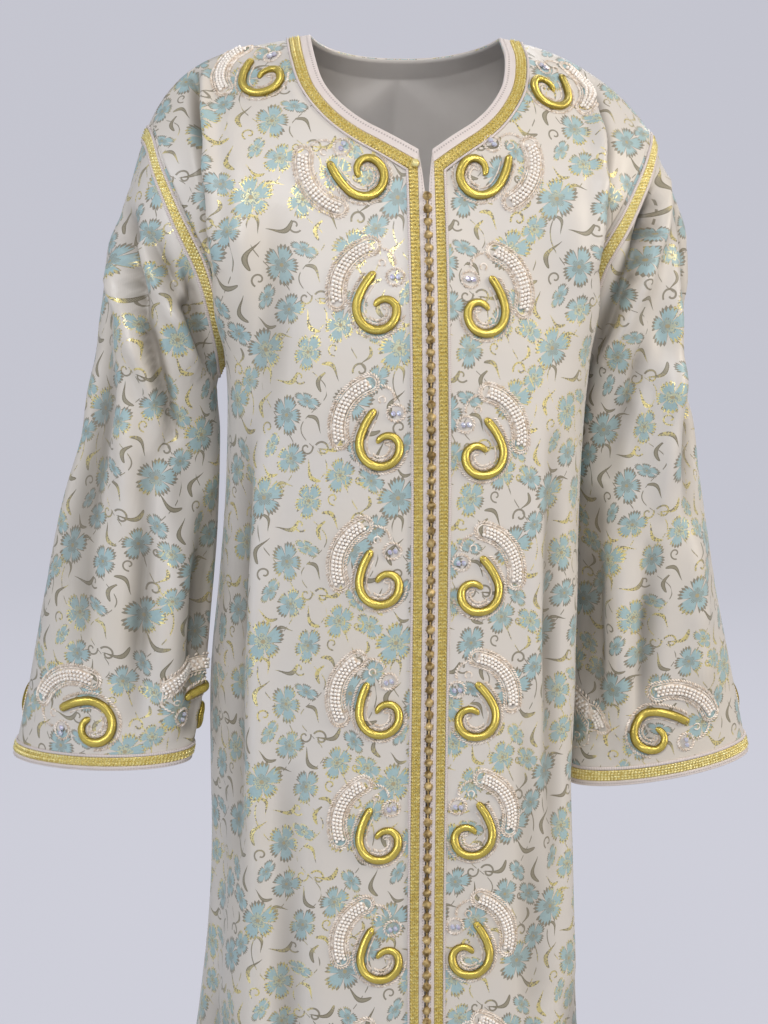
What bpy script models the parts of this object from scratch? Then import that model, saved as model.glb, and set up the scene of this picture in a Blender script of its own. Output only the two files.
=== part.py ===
"""Moroccan kaftan in ivory brocade, worn shape, closed down the centre front.

Metres, +Z up, the front faces -Y and the wearer's left side is at +X. The origin lies midway
between the two side-neck points, where the garment hangs on the shoulders. Every panel is a wall
of cloth through rows of points. "Across" is the distance from the centre line, "behind" is +Y and
"drop" is the distance below the side-neck points.
"""

import math

import bpy
import numpy as np
from mathutils import Vector
from mathutils.bvhtree import BVHTree

# Sizes of the cut
LENGTH = 1.450
UNDERARM = 0.285
CLOTH = 0.0016
SEAM_PULL = 0.00016
SLOT = 0.0018

# Panel grid
LOW_ROWS = 12
HIGH_ROWS = 12
CORNER_ROW = 4
CORNER_DROP = 0.137
NAPE_ROW = 7
NAPE_DROP = 0.060
SIDE_COLUMNS = 9
NECK_EASE = 0.8
CURVE_SAMPLES = 80
EASING_STEPS = 5

# Trim widths, from the garment's edge inwards: edging, gold braid, piping
FRONT_TRIM = (0.0052, 0.0131, 0.0154)
NECK_TRIM = (0.0096, 0.0195, 0.0221)
TRIM_LIFT = 0.0003
TRIM_SIDE_GAP = 0.00015
BUTTON_SIDE_GAP = 0.0015
EDGING_THICK = 0.0011
BRAID_THICK = 0.0017
PIPING_THICK = 0.0021

# Rings near a sleeve's two ends, as distances from its edges
ARMHOLE_BANDS = (0.0, 0.0030, 0.0061, 0.0163, 0.0195)
CUFF_BANDS = (0.0162, 0.0131, 0.0043, 0.0)
HEAD_ROWS = 4
ARM_ROWS = 6
HEAD_REACH = (0.34, 0.36)

BUTTON = 0.0068
BUTTON_PITCH = 0.0108
BUTTON_LIFT = 0.0021
THREAD = 0.0022
FIRST_BUTTON = 0.143
LAST_BUTTON = 1.444

SCROLL_WIDTH = 0.0076
SCROLL_HEIGHT = 0.0042
SCROLL_LIFT = 0.0006
SCROLL_STEP = 0.0125
SCROLL_SECTION = ((-0.5, 0.0), (-0.36, 1.0), (0.36, 1.0), (0.5, 0.0))
SCROLL_TAPER = ((0.0, 0.95), (0.12, 1.0), (0.75, 1.0), (1.0, 0.72))
SCROLL_CLEAR = 0.0004
CLEARING_STEPS = 3
SCROLL_PITCH = 0.1120
FRONT_SCROLLS = 11
CUFF_CHART_ROWS = 3
CUFF_SCROLL_SIZE = 1.12
CUFF_SCROLL_RISE = {-1: 0.0565, 1: 0.0600}
CUFF_SCROLL_SHARES = {-1: (0.212, 0.505, 0.720, 0.920), 1: (0.283, 0.575, 0.770, 0.935)}
CUFF_SCROLL_TURN = {-1: 14.0, 1: 2.0}

# Front and back lines of the body: how far each stands from the shoulder line at a drop
PROFILE_COLUMNS = ("drop", "front", "back")
PROFILE = (
    (0.012, 0.070, 0.055),
    (0.060, 0.080, 0.083),
    (0.104, 0.0910, 0.098),
    (0.150, 0.1040, 0.109),
    (0.210, 0.1200, 0.115),
    (0.285, 0.1290, 0.114),
    (0.400, 0.1290, 0.113),
    (0.580, 0.1310, 0.122),
    (0.800, 0.1380, 0.140),
    (0.950, 0.1500, 0.153),
    (1.150, 0.1720, 0.178),
    (1.450, 0.2050, 0.212),
)

# Where the front opening hangs, towards the wearer's left of the middle
OPENING_COLUMNS = ("drop", "across")
OPENING = (
    (0.104, 0.0050),
    (0.235, 0.0044),
    (0.410, 0.0058),
    (0.585, 0.0045),
    (0.750, 0.0028),
    (0.950, 0.0015),
    (1.450, 0.0),
)

# Half widths of the body at its side seams, on the wearer's right (-X) and left (+X)
GIRTH_COLUMNS = ("drop", "right", "left", "behind")
GIRTH = (
    (0.285, 0.163, 0.162, -0.006),
    (0.400, 0.166, 0.158, -0.002),
    (0.580, 0.184, 0.156, 0.000),
    (0.800, 0.188, 0.157, 0.002),
    (0.930, 0.204, 0.169, 0.003),
    (1.150, 0.236, 0.205, 0.004),
    (1.450, 0.278, 0.252, 0.005),
)

# Neckline of a front panel from the corner above the slot to the side-neck point, with the
# heading (degrees from straight outwards, + to the back) and dip of the cloth that leaves it
NECK_COLUMNS = ("share", "across", "behind", "drop", "heading", "dip")
FRONT_NECK = (
    (0.00, 0.0060, -0.0910, 0.104, -90.0, 74.0),
    (0.20, 0.0260, -0.0865, 0.092, -82.0, 66.0),
    (0.42, 0.0490, -0.0770, 0.0785, -68.0, 56.0),
    (0.62, 0.0680, -0.0625, 0.0610, -50.0, 46.0),
    (0.80, 0.0810, -0.0430, 0.0370, -28.0, 30.0),
    (0.92, 0.0848, -0.0190, 0.0120, -10.0, 16.0),
    (1.00, 0.0850, 0.0050, 0.0, 0.0, 10.0),
)
BACK_NECK = (
    (0.00, 0.0, 0.0550, 0.0120, 90.0, 50.0),
    (0.35, 0.0340, 0.0520, 0.0110, 74.0, 44.0),
    (0.70, 0.0680, 0.0340, 0.0060, 40.0, 26.0),
    (1.00, 0.0850, 0.0050, 0.0, 0.0, 10.0),
)

# Armhole edge from the underarm to the shoulder point, with the heading and dip of a row as it
# arrives there, and the reach of its curve at its two ends as shares of its chord
ARMHOLE_COLUMNS = ("share", "across", "behind", "drop", "heading", "dip", "start", "end")
FRONT_ARMHOLE = {
    -1: (
        (0.00, 0.000, -0.006, 0.285, 90.0, 0.0, 0.56, 0.45),
        (0.22, 0.166, -0.036, 0.252, 112.0, 0.0, 0.54, 0.44),
        (0.45, 0.178, -0.050, 0.200, 100.0, 2.0, 0.48, 0.42),
        (0.70, 0.202, -0.051, 0.146, 50.0, 18.0, 0.42, 0.38),
        (0.84, 0.217, -0.038, 0.107, 26.0, 40.0, 0.37, 0.42),
        (0.93, 0.224, -0.014, 0.0815, 10.0, 57.0, 0.36, 0.45),
        (1.00, 0.228, 0.010, 0.0755, 4.0, 64.0, 0.36, 0.45),
    ),
    1: (
        (0.00, 0.000, -0.006, 0.285, 90.0, 0.0, 0.56, 0.45),
        (0.22, 0.156, -0.036, 0.252, 112.0, 0.0, 0.54, 0.44),
        (0.45, 0.160, -0.050, 0.200, 100.0, 2.0, 0.48, 0.42),
        (0.70, 0.189, -0.051, 0.146, 50.0, 18.0, 0.42, 0.38),
        (0.84, 0.209, -0.038, 0.107, 26.0, 36.0, 0.34, 0.38),
        (0.93, 0.221, -0.014, 0.083, 10.0, 48.0, 0.30, 0.38),
        (1.00, 0.226, 0.010, 0.077, 4.0, 54.0, 0.28, 0.34),
    ),
}
BACK_ARMHOLE = {
    -1: (
        (0.00, 0.000, -0.006, 0.285, -90.0, 0.0, 0.56, 0.45),
        (0.20, 0.172, 0.040, 0.258, -70.0, 0.0, 0.52, 0.36),
        (0.45, 0.186, 0.068, 0.205, -52.0, 4.0, 0.46, 0.34),
        (0.70, 0.208, 0.062, 0.150, -36.0, 18.0, 0.40, 0.34),
        (0.84, 0.219, 0.051, 0.110, -22.0, 38.0, 0.37, 0.40),
        (0.93, 0.226, 0.031, 0.0835, -4.0, 54.0, 0.36, 0.44),
        (1.00, 0.228, 0.010, 0.0755, 4.0, 64.0, 0.36, 0.45),
    ),
    1: (
        (0.00, 0.000, -0.006, 0.285, -90.0, 0.0, 0.56, 0.45),
        (0.20, 0.170, 0.040, 0.258, -70.0, 0.0, 0.52, 0.36),
        (0.45, 0.182, 0.068, 0.205, -52.0, 4.0, 0.46, 0.34),
        (0.70, 0.203, 0.062, 0.150, -36.0, 18.0, 0.40, 0.34),
        (0.84, 0.216, 0.051, 0.110, -22.0, 34.0, 0.34, 0.38),
        (0.93, 0.223, 0.031, 0.085, -4.0, 46.0, 0.30, 0.38),
        (1.00, 0.226, 0.010, 0.077, 4.0, 54.0, 0.28, 0.34),
    ),
}

# Sleeves as rings: centre, half width, half depth, turn of the ring seen from above (degrees)
# and how much lower the inner side hangs than the centre
SLEEVE_COLUMNS = ("share", "drop", "across", "behind", "half_width", "half_depth", "turn", "hang")
SLEEVE_RIGHT = (
    (0.00, 0.355, 0.2330, 0.010, 0.0620, 0.064, 0.0, 0.000),
    (0.28, 0.438, 0.2475, 0.006, 0.0730, 0.061, 4.0, 0.000),
    (0.56, 0.522, 0.2620, -0.002, 0.0795, 0.057, 9.0, -0.002),
    (0.80, 0.594, 0.2735, -0.008, 0.0835, 0.053, 13.0, -0.004),
    (1.00, 0.651, 0.2870, -0.012, 0.0860, 0.050, 17.0, -0.006),
)
SLEEVE_LEFT = (
    (0.00, 0.355, 0.2190, 0.018, 0.0560, 0.066, 0.0, 0.000),
    (0.28, 0.440, 0.2280, 0.018, 0.0625, 0.062, 0.0, 0.001),
    (0.56, 0.530, 0.2390, 0.014, 0.0710, 0.057, 1.0, 0.006),
    (0.80, 0.610, 0.2475, 0.010, 0.0800, 0.051, 2.0, 0.010),
    (1.00, 0.687, 0.2535, 0.006, 0.0910, 0.046, 2.0, 0.012),
)

# Folds of a front panel and of the back: share of the way along a row at the fold's top and foot,
# the drops between which it runs, its height (- for a trough) and its half width as a share
FOLD_COLUMNS = ("top", "foot", "from", "to", "height", "width")
FRONT_FOLDS = (
    (0.52, 0.78, 0.060, 0.290, 0.0060, 0.140),
    (0.80, 0.96, 0.060, 0.250, -0.0050, 0.110),
    (0.52, 0.50, 0.560, 1.450, 0.0080, 0.110),
    (0.76, 0.74, 0.500, 1.450, -0.0090, 0.090),
    (0.24, 0.22, 0.820, 1.450, -0.0080, 0.100),
)
BACK_FOLDS = (
    (0.30, 0.26, 0.200, 1.450, -0.0090, 0.110),
    (0.56, 0.52, 0.420, 1.450, 0.0100, 0.110),
    (0.80, 0.78, 0.160, 1.450, -0.0100, 0.090),
)
# Folds of the sleeves: places round the ring (degrees from the outermost point through the front)
# and along the sleeve at the fold's two ends, its height and its half width in degrees
SLEEVE_FOLD_COLUMNS = ("turn_top", "turn_foot", "from", "to", "height", "width")
SLEEVE_FOLDS = {
    -1: (
        (62.0, 150.0, 0.12, 0.62, -0.0075, 15.0),
        (36.0, 66.0, 0.14, 0.66, -0.0060, 13.0),
        (250.0, 215.0, 0.10, 0.70, -0.0070, 16.0),
        (300.0, 320.0, 0.20, 0.90, 0.0060, 18.0),
    ),
    1: (
        (30.0, 150.0, 0.08, 0.50, -0.0100, 17.0),
        (64.0, 60.0, 0.30, 0.90, 0.0050, 16.0),
        (255.0, 220.0, 0.10, 0.70, -0.0075, 16.0),
        (310.0, 300.0, 0.22, 0.92, 0.0060, 18.0),
        (-5.0, 5.0, -0.10, 0.26, 0.0075, 50.0),
    ),
}

# The scroll's centre line as arcs: radius in metres and turn in degrees, from its head
SCROLL_ARCS = ((0.0614, 24.6), (0.0217, 38.6), (0.0172, 90.0), (0.0157, 75.1), (0.0096, 92.5), (0.0098, 59.1))
SCROLL_HEAD = (-0.0067, 0.0282)
SCROLL_HEADING = -44.7

# Places of the scrolls on a front panel: across, drop and turn in degrees. The column goes on from
# its last row to the hem, one pitch apart
SCROLL_PLACES = {
    -1: {
        "shoulder": (0.1377, 0.0442, 12.8),
        "neck": (0.0544, 0.1333, 64.0),
        "column": (
            (0.0475, 0.2345, 0.0),
            (0.0462, 0.3489, 4.4),
            (0.0468, 0.4690, 10.0),
            (0.0472, 0.5853, 16.0),
            (0.0480, 0.6977, 10.1),
            (0.0478, 0.8070, 9.0),
        ),
    },
    1: {
        "shoulder": (0.1293, 0.0539, 26.6),
        "neck": (0.0580, 0.1306, 52.6),
        "column": (
            (0.0609, 0.2388, 5.8),
            (0.0591, 0.3571, -1.1),
            (0.0564, 0.4760, -1.3),
            (0.0545, 0.5872, -3.9),
            (0.0523, 0.6964, 4.6),
            (0.0502, 0.8062, 4.4),
        ),
    },
}

# Edges sharper than this are shaded as edges
SHARP_ANGLE = math.radians(50.0)

# Materials: base colour, roughness, metallic
MATERIALS = {
    "brocade": ((0.74, 0.70, 0.65), 0.45, 0.0),
    "gold": ((0.62, 0.50, 0.12), 0.35, 0.9),
    "pale_trim": ((0.80, 0.74, 0.70), 0.7, 0.0),
    "button_thread": ((0.30, 0.21, 0.11), 0.6, 0.3),
}


def unit(vectors):
    """Vectors scaled to length one."""
    return vectors / np.maximum(np.linalg.norm(vectors, axis=-1, keepdims=True), 1e-12)


def smooth(at, knots, values):
    """A smooth curve through the knots, each piece a cubic with the chords' mean slopes."""
    at, knots, values = np.asarray(at, float), np.asarray(knots, float), np.asarray(values, float)
    slopes = np.gradient(values, knots)
    piece = np.clip(np.searchsorted(knots, at, side="right") - 1, 0, len(knots) - 2)
    width = knots[piece + 1] - knots[piece]
    t = np.clip((at - knots[piece]) / width, 0.0, 1.0)
    start = (1 + 2 * t) * (1 - t) ** 2 * values[piece]
    end = t**2 * (3 - 2 * t) * values[piece + 1]
    lean = t * (1 - t) ** 2 * slopes[piece] + t**2 * (t - 1) * slopes[piece + 1]
    return start + end + lean * width


def read(columns, table, name, at):
    """One named column of a table, read at places along its first column."""
    rows = np.array(table)
    return smooth(at, rows[:, 0], rows[:, columns.index(name)])


def points(columns, table, at, side):
    """Points in space from a table's across, behind and drop columns."""
    across = read(columns, table, "across", at)
    behind = read(columns, table, "behind", at)
    drop = read(columns, table, "drop", at)
    return np.stack([side * across, behind, -drop], -1)


def directions(columns, table, at, side):
    """Unit directions from a table's heading and dip columns."""
    heading = np.radians(read(columns, table, "heading", at))
    dip = np.radians(read(columns, table, "dip", at))
    return np.stack([side * np.cos(dip) * np.cos(heading), np.cos(dip) * np.sin(heading), -np.sin(dip)], -1)


def half_width(side, drop):
    """Half width of the body at its side seam."""
    return read(GIRTH_COLUMNS, GIRTH, "left" if side > 0 else "right", drop)


def bezier(start, first, second, end):
    """Points along the cubic curve of four control points."""
    t = np.linspace(0.0, 1.0, CURVE_SAMPLES)[:, None]
    return (1 - t) ** 3 * start + 3 * t * (1 - t) ** 2 * first + 3 * t**2 * (1 - t) * second + t**3 * end


def curve_row(start, start_way, end, end_way, reach_start, reach_end, cells):
    """A cubic curve between two points, cut into cells of equal length."""
    chord = np.linalg.norm(end - start)
    first = start + start_way * reach_start * chord
    second = end - end_way * reach_end * chord
    line = bezier(start, first, second, end)
    return along(line, np.linspace(0.0, 1.0, cells + 1), None)


def along(line, shares, distances):
    """Points on a polyline at shares of its length, or at distances from its start."""
    run = np.concatenate([[0.0], np.cumsum(np.linalg.norm(np.diff(line, axis=0), axis=1))])
    at = shares * run[-1] if distances is None else distances
    return np.stack([np.interp(at, run, line[:, i]) for i in range(3)], -1)


def leaving_ways(corner, band, tangent, ends, turn):
    """Directions in which rows leave the trims: from towards their ends to square to the neckline."""
    normal = unit(np.cross(tangent, band))
    goal = unit(ends - corner)
    goal = unit(goal - np.sum(goal * normal, -1, keepdims=True) * normal)
    return unit(turn[:, None] * band + (1 - turn[:, None]) * goal)


def slanting_ways(ways, starts, ends, first, last):
    """Turn the level directions of rows between two numbers more and more towards their ends."""
    part = np.arange(last - first) / (last - first)
    level = ways[first:last]
    down = np.tile([0.0, 0.0, -1.0], (last - first, 1))
    ways[first:last] = leaving_ways(starts[first:last], level, down, ends[first:last], 1 - part)


def low_drops():
    """Drops of the rows below the underarm, from the hem up."""
    return np.linspace(LENGTH, UNDERARM, LOW_ROWS + 1)[:-1]


def opening(drops):
    """Places of the front opening's middle line."""
    return read(OPENING_COLUMNS, OPENING, "across", drops)


def side_seam(side, drops):
    """Points of a side seam."""
    behind = read(GIRTH_COLUMNS, GIRTH, "behind", drops)
    return np.stack([side * half_width(side, drops), behind, -drops], -1)


def armhole(side, tables):
    """Armhole edge of a panel, from the underarm up, with its arriving directions and reaches."""
    rows = [list(row) for row in tables[side]]
    rows[0][1] = float(half_width(side, UNDERARM))
    share = np.linspace(0.0, 1.0, HIGH_ROWS + 1)
    edge = points(ARMHOLE_COLUMNS, rows, share, side)
    ways = directions(ARMHOLE_COLUMNS, rows, share, side)
    reach = [read(ARMHOLE_COLUMNS, rows, name, share) for name in ("start", "end")]
    return edge, ways, reach


def neck_trims(neck, leaving):
    """Trim points beside a neckline: each a width away, square to the line, in the cloth."""
    tangent = unit(np.gradient(neck, axis=0))
    square = unit(leaving - np.sum(leaving * tangent, -1, keepdims=True) * tangent)
    square[-1] = leaving[-1]
    widths = np.array((0.0,) + NECK_TRIM)
    return neck[:, None] + widths[None, :, None] * square[:, None], tangent, square


def fold_height(folds, share, drop):
    """How far the folds move a point out: each a soft ridge or trough along a slanting line."""
    height = np.zeros(np.broadcast(share, drop).shape)
    for top, foot, start, end, rise, width in folds:
        part = np.clip((drop - start) / (end - start), 0.0, 1.0)
        line = top + (foot - top) * part
        fade = np.sin(0.5 * math.pi * np.clip(part / 0.35, 0.0, 1.0)) ** 2
        if end < LENGTH:
            fade = fade * np.sin(0.5 * math.pi * np.clip((1 - part) / 0.35, 0.0, 1.0)) ** 2
        height = height + rise * fade * np.exp(-(((share - line) / width) ** 2))
    return height


def grid_normals(grid, ring):
    """Outward or inward unit normals of a grid of points."""
    down = np.gradient(grid, axis=0)
    if ring:
        across = np.roll(grid, -1, axis=1) - np.roll(grid, 1, axis=1)
    else:
        across = np.gradient(grid, axis=1)
    return unit(np.cross(across, down))


def eased(grid, first):
    """The grid with its columns' points eased towards those above and below, most in its middle."""
    grid = grid.copy()
    inner = grid[:, first + 1 : -1]
    part = np.linspace(0.0, 1.0, grid.shape[1] - first)[1:-1]
    weight = 0.25 * np.sin(math.pi * part)[None, :, None]
    for _ in range(EASING_STEPS):
        inner[1:-1] += weight * (inner[:-2] + inner[2:] - 2 * inner[1:-1])
    return grid


def fold_panel(grid, folds, first, side):
    """Moves the columns of a panel beyond its trims out or in along its folds."""
    grid = eased(grid, first)
    share = np.zeros(grid.shape[1])
    share[first:] = np.linspace(0.0, 1.0, grid.shape[1] - first)
    hold = np.sin(0.5 * math.pi * np.clip(share / 0.12, 0.0, 1.0)) * np.clip((1 - share) / 0.1, 0.0, 1.0)
    below_seam = np.clip((len(grid) - 1 - np.arange(len(grid))) / 3, 0.0, 1.0)[:, None]
    height = fold_height(folds, share[None, :], -grid[:, :, 2]) * hold * below_seam
    return grid + side * height[..., None] * grid_normals(grid, False)


def front_panel(side):
    """Rows of a front panel from the hem to the shoulder seam, each from the slot to the side."""
    drops = low_drops()
    slot_drops = np.concatenate([drops, np.linspace(UNDERARM, CORNER_DROP, CORNER_ROW)])
    out = read(PROFILE_COLUMNS, PROFILE, "front", slot_drops)
    slot = np.stack([opening(slot_drops) + side * SLOT, -out, -slot_drops], -1)
    widths = np.array((0.0,) + FRONT_TRIM)
    slot_trims = slot[:, None] + widths[None, :, None] * np.array([side, 0.0, 0.0])
    share = np.linspace(0.0, 1.0, HIGH_ROWS - CORNER_ROW + 1)
    neck = points(NECK_COLUMNS, FRONT_NECK, share, side)
    neck[:, 0] += opening(CORNER_DROP) * np.clip(1 - share / NECK_EASE, 0.0, 1.0) ** 2
    leaving = directions(NECK_COLUMNS, FRONT_NECK, share, side)
    trims, tangent, square = neck_trims(neck, leaving)
    for k, (width, front) in enumerate(zip(NECK_TRIM, FRONT_TRIM), start=1):
        offset = neck[0] + width * square[0]
        slide = (opening(CORNER_DROP) + side * (SLOT + front) - offset[0]) / tangent[0][0]
        trims[0, k] = offset + slide * tangent[0]
    start = np.concatenate([slot_trims, trims])
    seam = side_seam(side, drops)
    edge, arrive, (reach_start, reach_end) = armhole(side, FRONT_ARMHOLE)
    ends = np.concatenate([seam, edge])
    ways = unit(start[:, 3] - start[:, 1])
    corner = LOW_ROWS + CORNER_ROW
    slanting_ways(ways, start[:, 3], ends, LOW_ROWS, corner)
    ways[corner:] = leaving_ways(trims[:, 3], square, tangent, edge[CORNER_ROW:], share)
    backwards = np.tile([0.0, 1.0, 0.0], (len(drops), 1))
    arrive = np.concatenate([backwards, arrive])
    reach_start = np.concatenate([np.full(len(drops), reach_start[0]), reach_start])
    reach_end = np.concatenate([np.full(len(drops), reach_end[0]), reach_end])
    grid = []
    for r in range(len(ends)):
        rest = curve_row(start[r, 3], ways[r], ends[r], arrive[r], reach_start[r], reach_end[r], SIDE_COLUMNS)
        grid.append(np.concatenate([start[r, :3], rest]))
    return fold_panel(np.array(grid), FRONT_FOLDS, 3, side)


def back_half(side):
    """Rows of half of the back, from its centre line to the side, and the band round its neck."""
    drops = low_drops()
    centre_drops = np.concatenate([drops, np.linspace(UNDERARM, NAPE_DROP, NAPE_ROW)])
    out = read(PROFILE_COLUMNS, PROFILE, "back", centre_drops)
    centre = np.stack([np.zeros_like(out), out, -centre_drops], -1)
    share = np.linspace(0.0, 1.0, HIGH_ROWS - NAPE_ROW + 1)
    neck = points(NECK_COLUMNS, BACK_NECK, share, side)
    leaving = directions(NECK_COLUMNS, BACK_NECK, share, side)
    trims, tangent, square = neck_trims(neck, leaving)
    trims[0, :, 0] = 0.0
    inner = np.concatenate([centre, trims[:, 3]])
    seam = side_seam(side, drops)
    edge, arrive, (reach_start, reach_end) = armhole(side, BACK_ARMHOLE)
    ways = np.tile([float(side), 0.0, 0.0], (len(inner), 1))
    ends = np.concatenate([seam, edge])
    nape = NAPE_ROW + LOW_ROWS + 1
    slanting_ways(ways, inner, ends, LOW_ROWS, nape)
    ways[nape:] = leaving_ways(trims[:, 3], square, tangent, edge[NAPE_ROW:], share)[1:]
    forwards = np.tile([0.0, -1.0, 0.0], (len(drops), 1))
    arrive = np.concatenate([forwards, arrive])
    reach_start = np.concatenate([np.full(len(drops), reach_start[0]), reach_start])
    reach_end = np.concatenate([np.full(len(drops), reach_end[0]), reach_end])
    grid = []
    for r, start in enumerate(inner):
        row = curve_row(start, ways[r], ends[r], arrive[r], reach_start[r], reach_end[r], SIDE_COLUMNS)
        grid.append(row)
    return fold_panel(np.array(grid), BACK_FOLDS, 0, -side), trims[::-1]


def sleeve_rings(side, share):
    """Rings of a sleeve below the underarm, each from its outermost point round the front."""
    table = SLEEVE_LEFT if side > 0 else SLEEVE_RIGHT
    value = {name: read(SLEEVE_COLUMNS, table, name, share)[:, None] for name in SLEEVE_COLUMNS[1:]}
    angle = np.linspace(0.0, 2 * math.pi, 2 * HIGH_ROWS + 1)[:-1][None, :]
    turn = np.radians(value["turn"])
    wide = value["half_width"] * np.cos(angle)
    deep = value["half_depth"] * np.sin(angle)
    across = value["across"] + wide * np.cos(turn) - deep * np.sin(turn)
    behind = value["behind"] + wide * np.sin(turn) - deep * np.cos(turn)
    drop = value["drop"] - value["hang"] * np.cos(angle)
    return np.stack([side * across, behind, -drop], -1)


def sleeve(side, ring):
    """Rings of a sleeve from the armhole to the cuff edge."""
    ends = sleeve_rings(side, np.array([0.0, 1.0]))
    length = np.linalg.norm(ends[1] - ends[0], axis=-1).mean()
    shares = np.linspace(0.0, 1.0, ARM_ROWS + 1)
    shares = np.concatenate([shares[:-1], 1.0 - np.array(CUFF_BANDS) / length])
    low = sleeve_rings(side, shares)
    downwards = unit(low[1] - low[0])
    angle = np.linspace(0.0, 2 * math.pi, 2 * HIGH_ROWS + 1)[:-1]
    outwards = 0.54 - 0.20 * np.cos(angle)
    lead = unit(np.stack([side * outwards, -0.20 * np.sin(angle), -0.80 + 0 * angle], -1))
    head = []
    for k in range(len(ring)):
        chord = np.linalg.norm(low[0, k] - ring[k])
        first = ring[k] + lead[k] * HEAD_REACH[0] * chord
        second = low[0, k] - downwards[k] * HEAD_REACH[1] * chord
        line = bezier(ring[k], first, second, low[0, k])
        run = np.linalg.norm(np.diff(line, axis=0), axis=1).sum()
        rest = np.linspace(ARMHOLE_BANDS[-1], run, HEAD_ROWS + 1)[1:-1]
        head.append(along(line, None, np.concatenate([ARMHOLE_BANDS, rest])))
    rings = np.concatenate([np.stack(head, 1), low])
    run = np.concatenate([[0.0], np.cumsum(np.linalg.norm(np.diff(rings, axis=0), axis=-1).mean(axis=1))])
    share = (run / run[-1])[:, None]
    height = np.zeros(rings.shape[:2])
    for turn_top, turn_foot, start, end, rise, width in SLEEVE_FOLDS[side]:
        part = np.clip((share - start) / (end - start), 0.0, 1.0)
        line = turn_top + (turn_foot - turn_top) * part
        away = (np.degrees(angle)[None, :] - line + 180.0) % 360.0 - 180.0
        height += rise * np.sin(math.pi * part) ** 1.2 * np.exp(-((away / width) ** 2))
    hold = np.clip((run - ARMHOLE_BANDS[-1]) / 0.03, 0.0, 1.0)[:, None]
    hold = hold * np.clip((run[-1] - CUFF_BANDS[0] - run) / 0.03, 0.0, 1.0)[:, None]
    return rings + side * (height * hold)[..., None] * grid_normals(rings, True)


def grid_triangles(rows, columns, ring):
    """Index triples of a grid of points, closed round its columns where it is a ring."""
    wide = columns if ring else columns - 1
    r, c = np.meshgrid(np.arange(rows - 1), np.arange(wide), indexing="ij")
    here, right = r * columns + c, r * columns + (c + 1) % columns
    above, over = here + columns, right + columns
    pairs = np.stack([np.stack([here, right, over], -1), np.stack([here, over, above], -1)], 2)
    return pairs.reshape(-1, 3)


class Panel:
    """Outer skin of one piece of cloth: blocks of points welded where they meet."""

    def __init__(self, name, blocks, turned, ring=False):
        self.name, self.blocks = name, blocks
        placed = np.concatenate([block.reshape(-1, 3) for block in blocks])
        keys = np.round(placed * 1e6).astype(np.int64)
        _, first, index = np.unique(keys, axis=0, return_index=True, return_inverse=True)
        index = index.reshape(-1)
        self.points = placed[first]
        triangles, start, self.maps = [], 0, []
        for k, block in enumerate(blocks):
            rows, columns = block.shape[:2]
            flip = turned[k]
            faces = grid_triangles(rows, columns, ring) + start
            triangles.append(faces[:, ::-1] if flip else faces)
            self.maps.append(index[start : start + rows * columns].reshape(rows, columns))
            start += rows * columns
        faces = index[np.concatenate(triangles)]
        whole = (faces[:, 0] != faces[:, 1]) & (faces[:, 1] != faces[:, 2]) & (faces[:, 2] != faces[:, 0])
        self.faces = faces[whole]
        corner = self.points[self.faces]
        cross = np.cross(corner[:, 1] - corner[:, 0], corner[:, 2] - corner[:, 0])
        self.normals = np.zeros_like(self.points)
        for k in range(3):
            np.add.at(self.normals, self.faces[:, k], cross)
        self.normals = unit(self.normals)
        self.inwards = self.normals.copy()
        self.outer = self.points.copy()

    def rim(self):
        """Edges that only one triangle uses, each in that triangle's direction."""
        edges = np.concatenate([self.faces[:, [0, 1]], self.faces[:, [1, 2]], self.faces[:, [2, 0]]])
        known = {(a, b) for a, b in edges.tolist()}
        return [(a, b) for a, b in edges.tolist() if (b, a) not in known]

    def seam_pulls(self, shared):
        """Directions in the cloth that move each seam point square away from its seams by one unit."""
        owner = {}
        for face in self.faces.tolist():
            for k in range(3):
                owner[(face[k], face[(k + 1) % 3])] = face
        pulls = {}
        for a, b in self.rim():
            if a not in shared or b not in shared:
                continue
            corner = self.points[owner[(a, b)]]
            normal = unit(np.cross(corner[1] - corner[0], corner[2] - corner[0]))
            inward = unit(np.cross(normal, self.points[b] - self.points[a]))
            pulls.setdefault(a, []).append(inward)
            pulls.setdefault(b, []).append(inward)
        for point, ways in pulls.items():
            pulls[point] = sum(ways) / (1 + ways[0].dot(ways[1]) if len(ways) > 1 else 1)
        return pulls

    def wall(self):
        """Closed body: the outer skin, the same skin moved inwards, and the rim between them."""
        inner = self.outer - CLOTH * self.inwards
        count = len(self.outer)
        faces = self.faces.tolist() + (self.faces[:, ::-1] + count).tolist()
        for a, b in self.rim():
            if tuple(self.points[a].round(5)) < tuple(self.points[b].round(5)):
                faces += [[b, a, a + count], [b, a + count, b + count]]
            else:
                faces += [[b, a, b + count], [a, a + count, b + count]]
        return np.concatenate([self.outer, inner]), faces


def join_seams(panels):
    """Mitre the walls where panels share a seam, and leave the seam gap between them."""
    shared = {}
    for panel in panels:
        for point in sorted({a for edge in panel.rim() for a in edge}):
            key = tuple(np.round(panel.points[point] * 1e6).astype(np.int64).tolist())
            shared.setdefault(key, []).append((panel, point))
    meetings = [meeting for meeting in shared.values() if len(meeting) > 1]
    for meeting in meetings:
        mean = unit(sum(panel.normals[point] for panel, point in meeting))
        leans = [float(panel.normals[point].dot(mean)) for panel, point in meeting]
        for (panel, point), lean in zip(meeting, leans):
            if min(leans) > 0.5:
                panel.inwards[point] = mean / lean
    for panel in panels:
        own = {point for meeting in meetings for other, point in meeting if other is panel}
        for point, pull in panel.seam_pulls(own).items():
            panel.outer[point] = panel.points[point] + SEAM_PULL * pull


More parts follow.
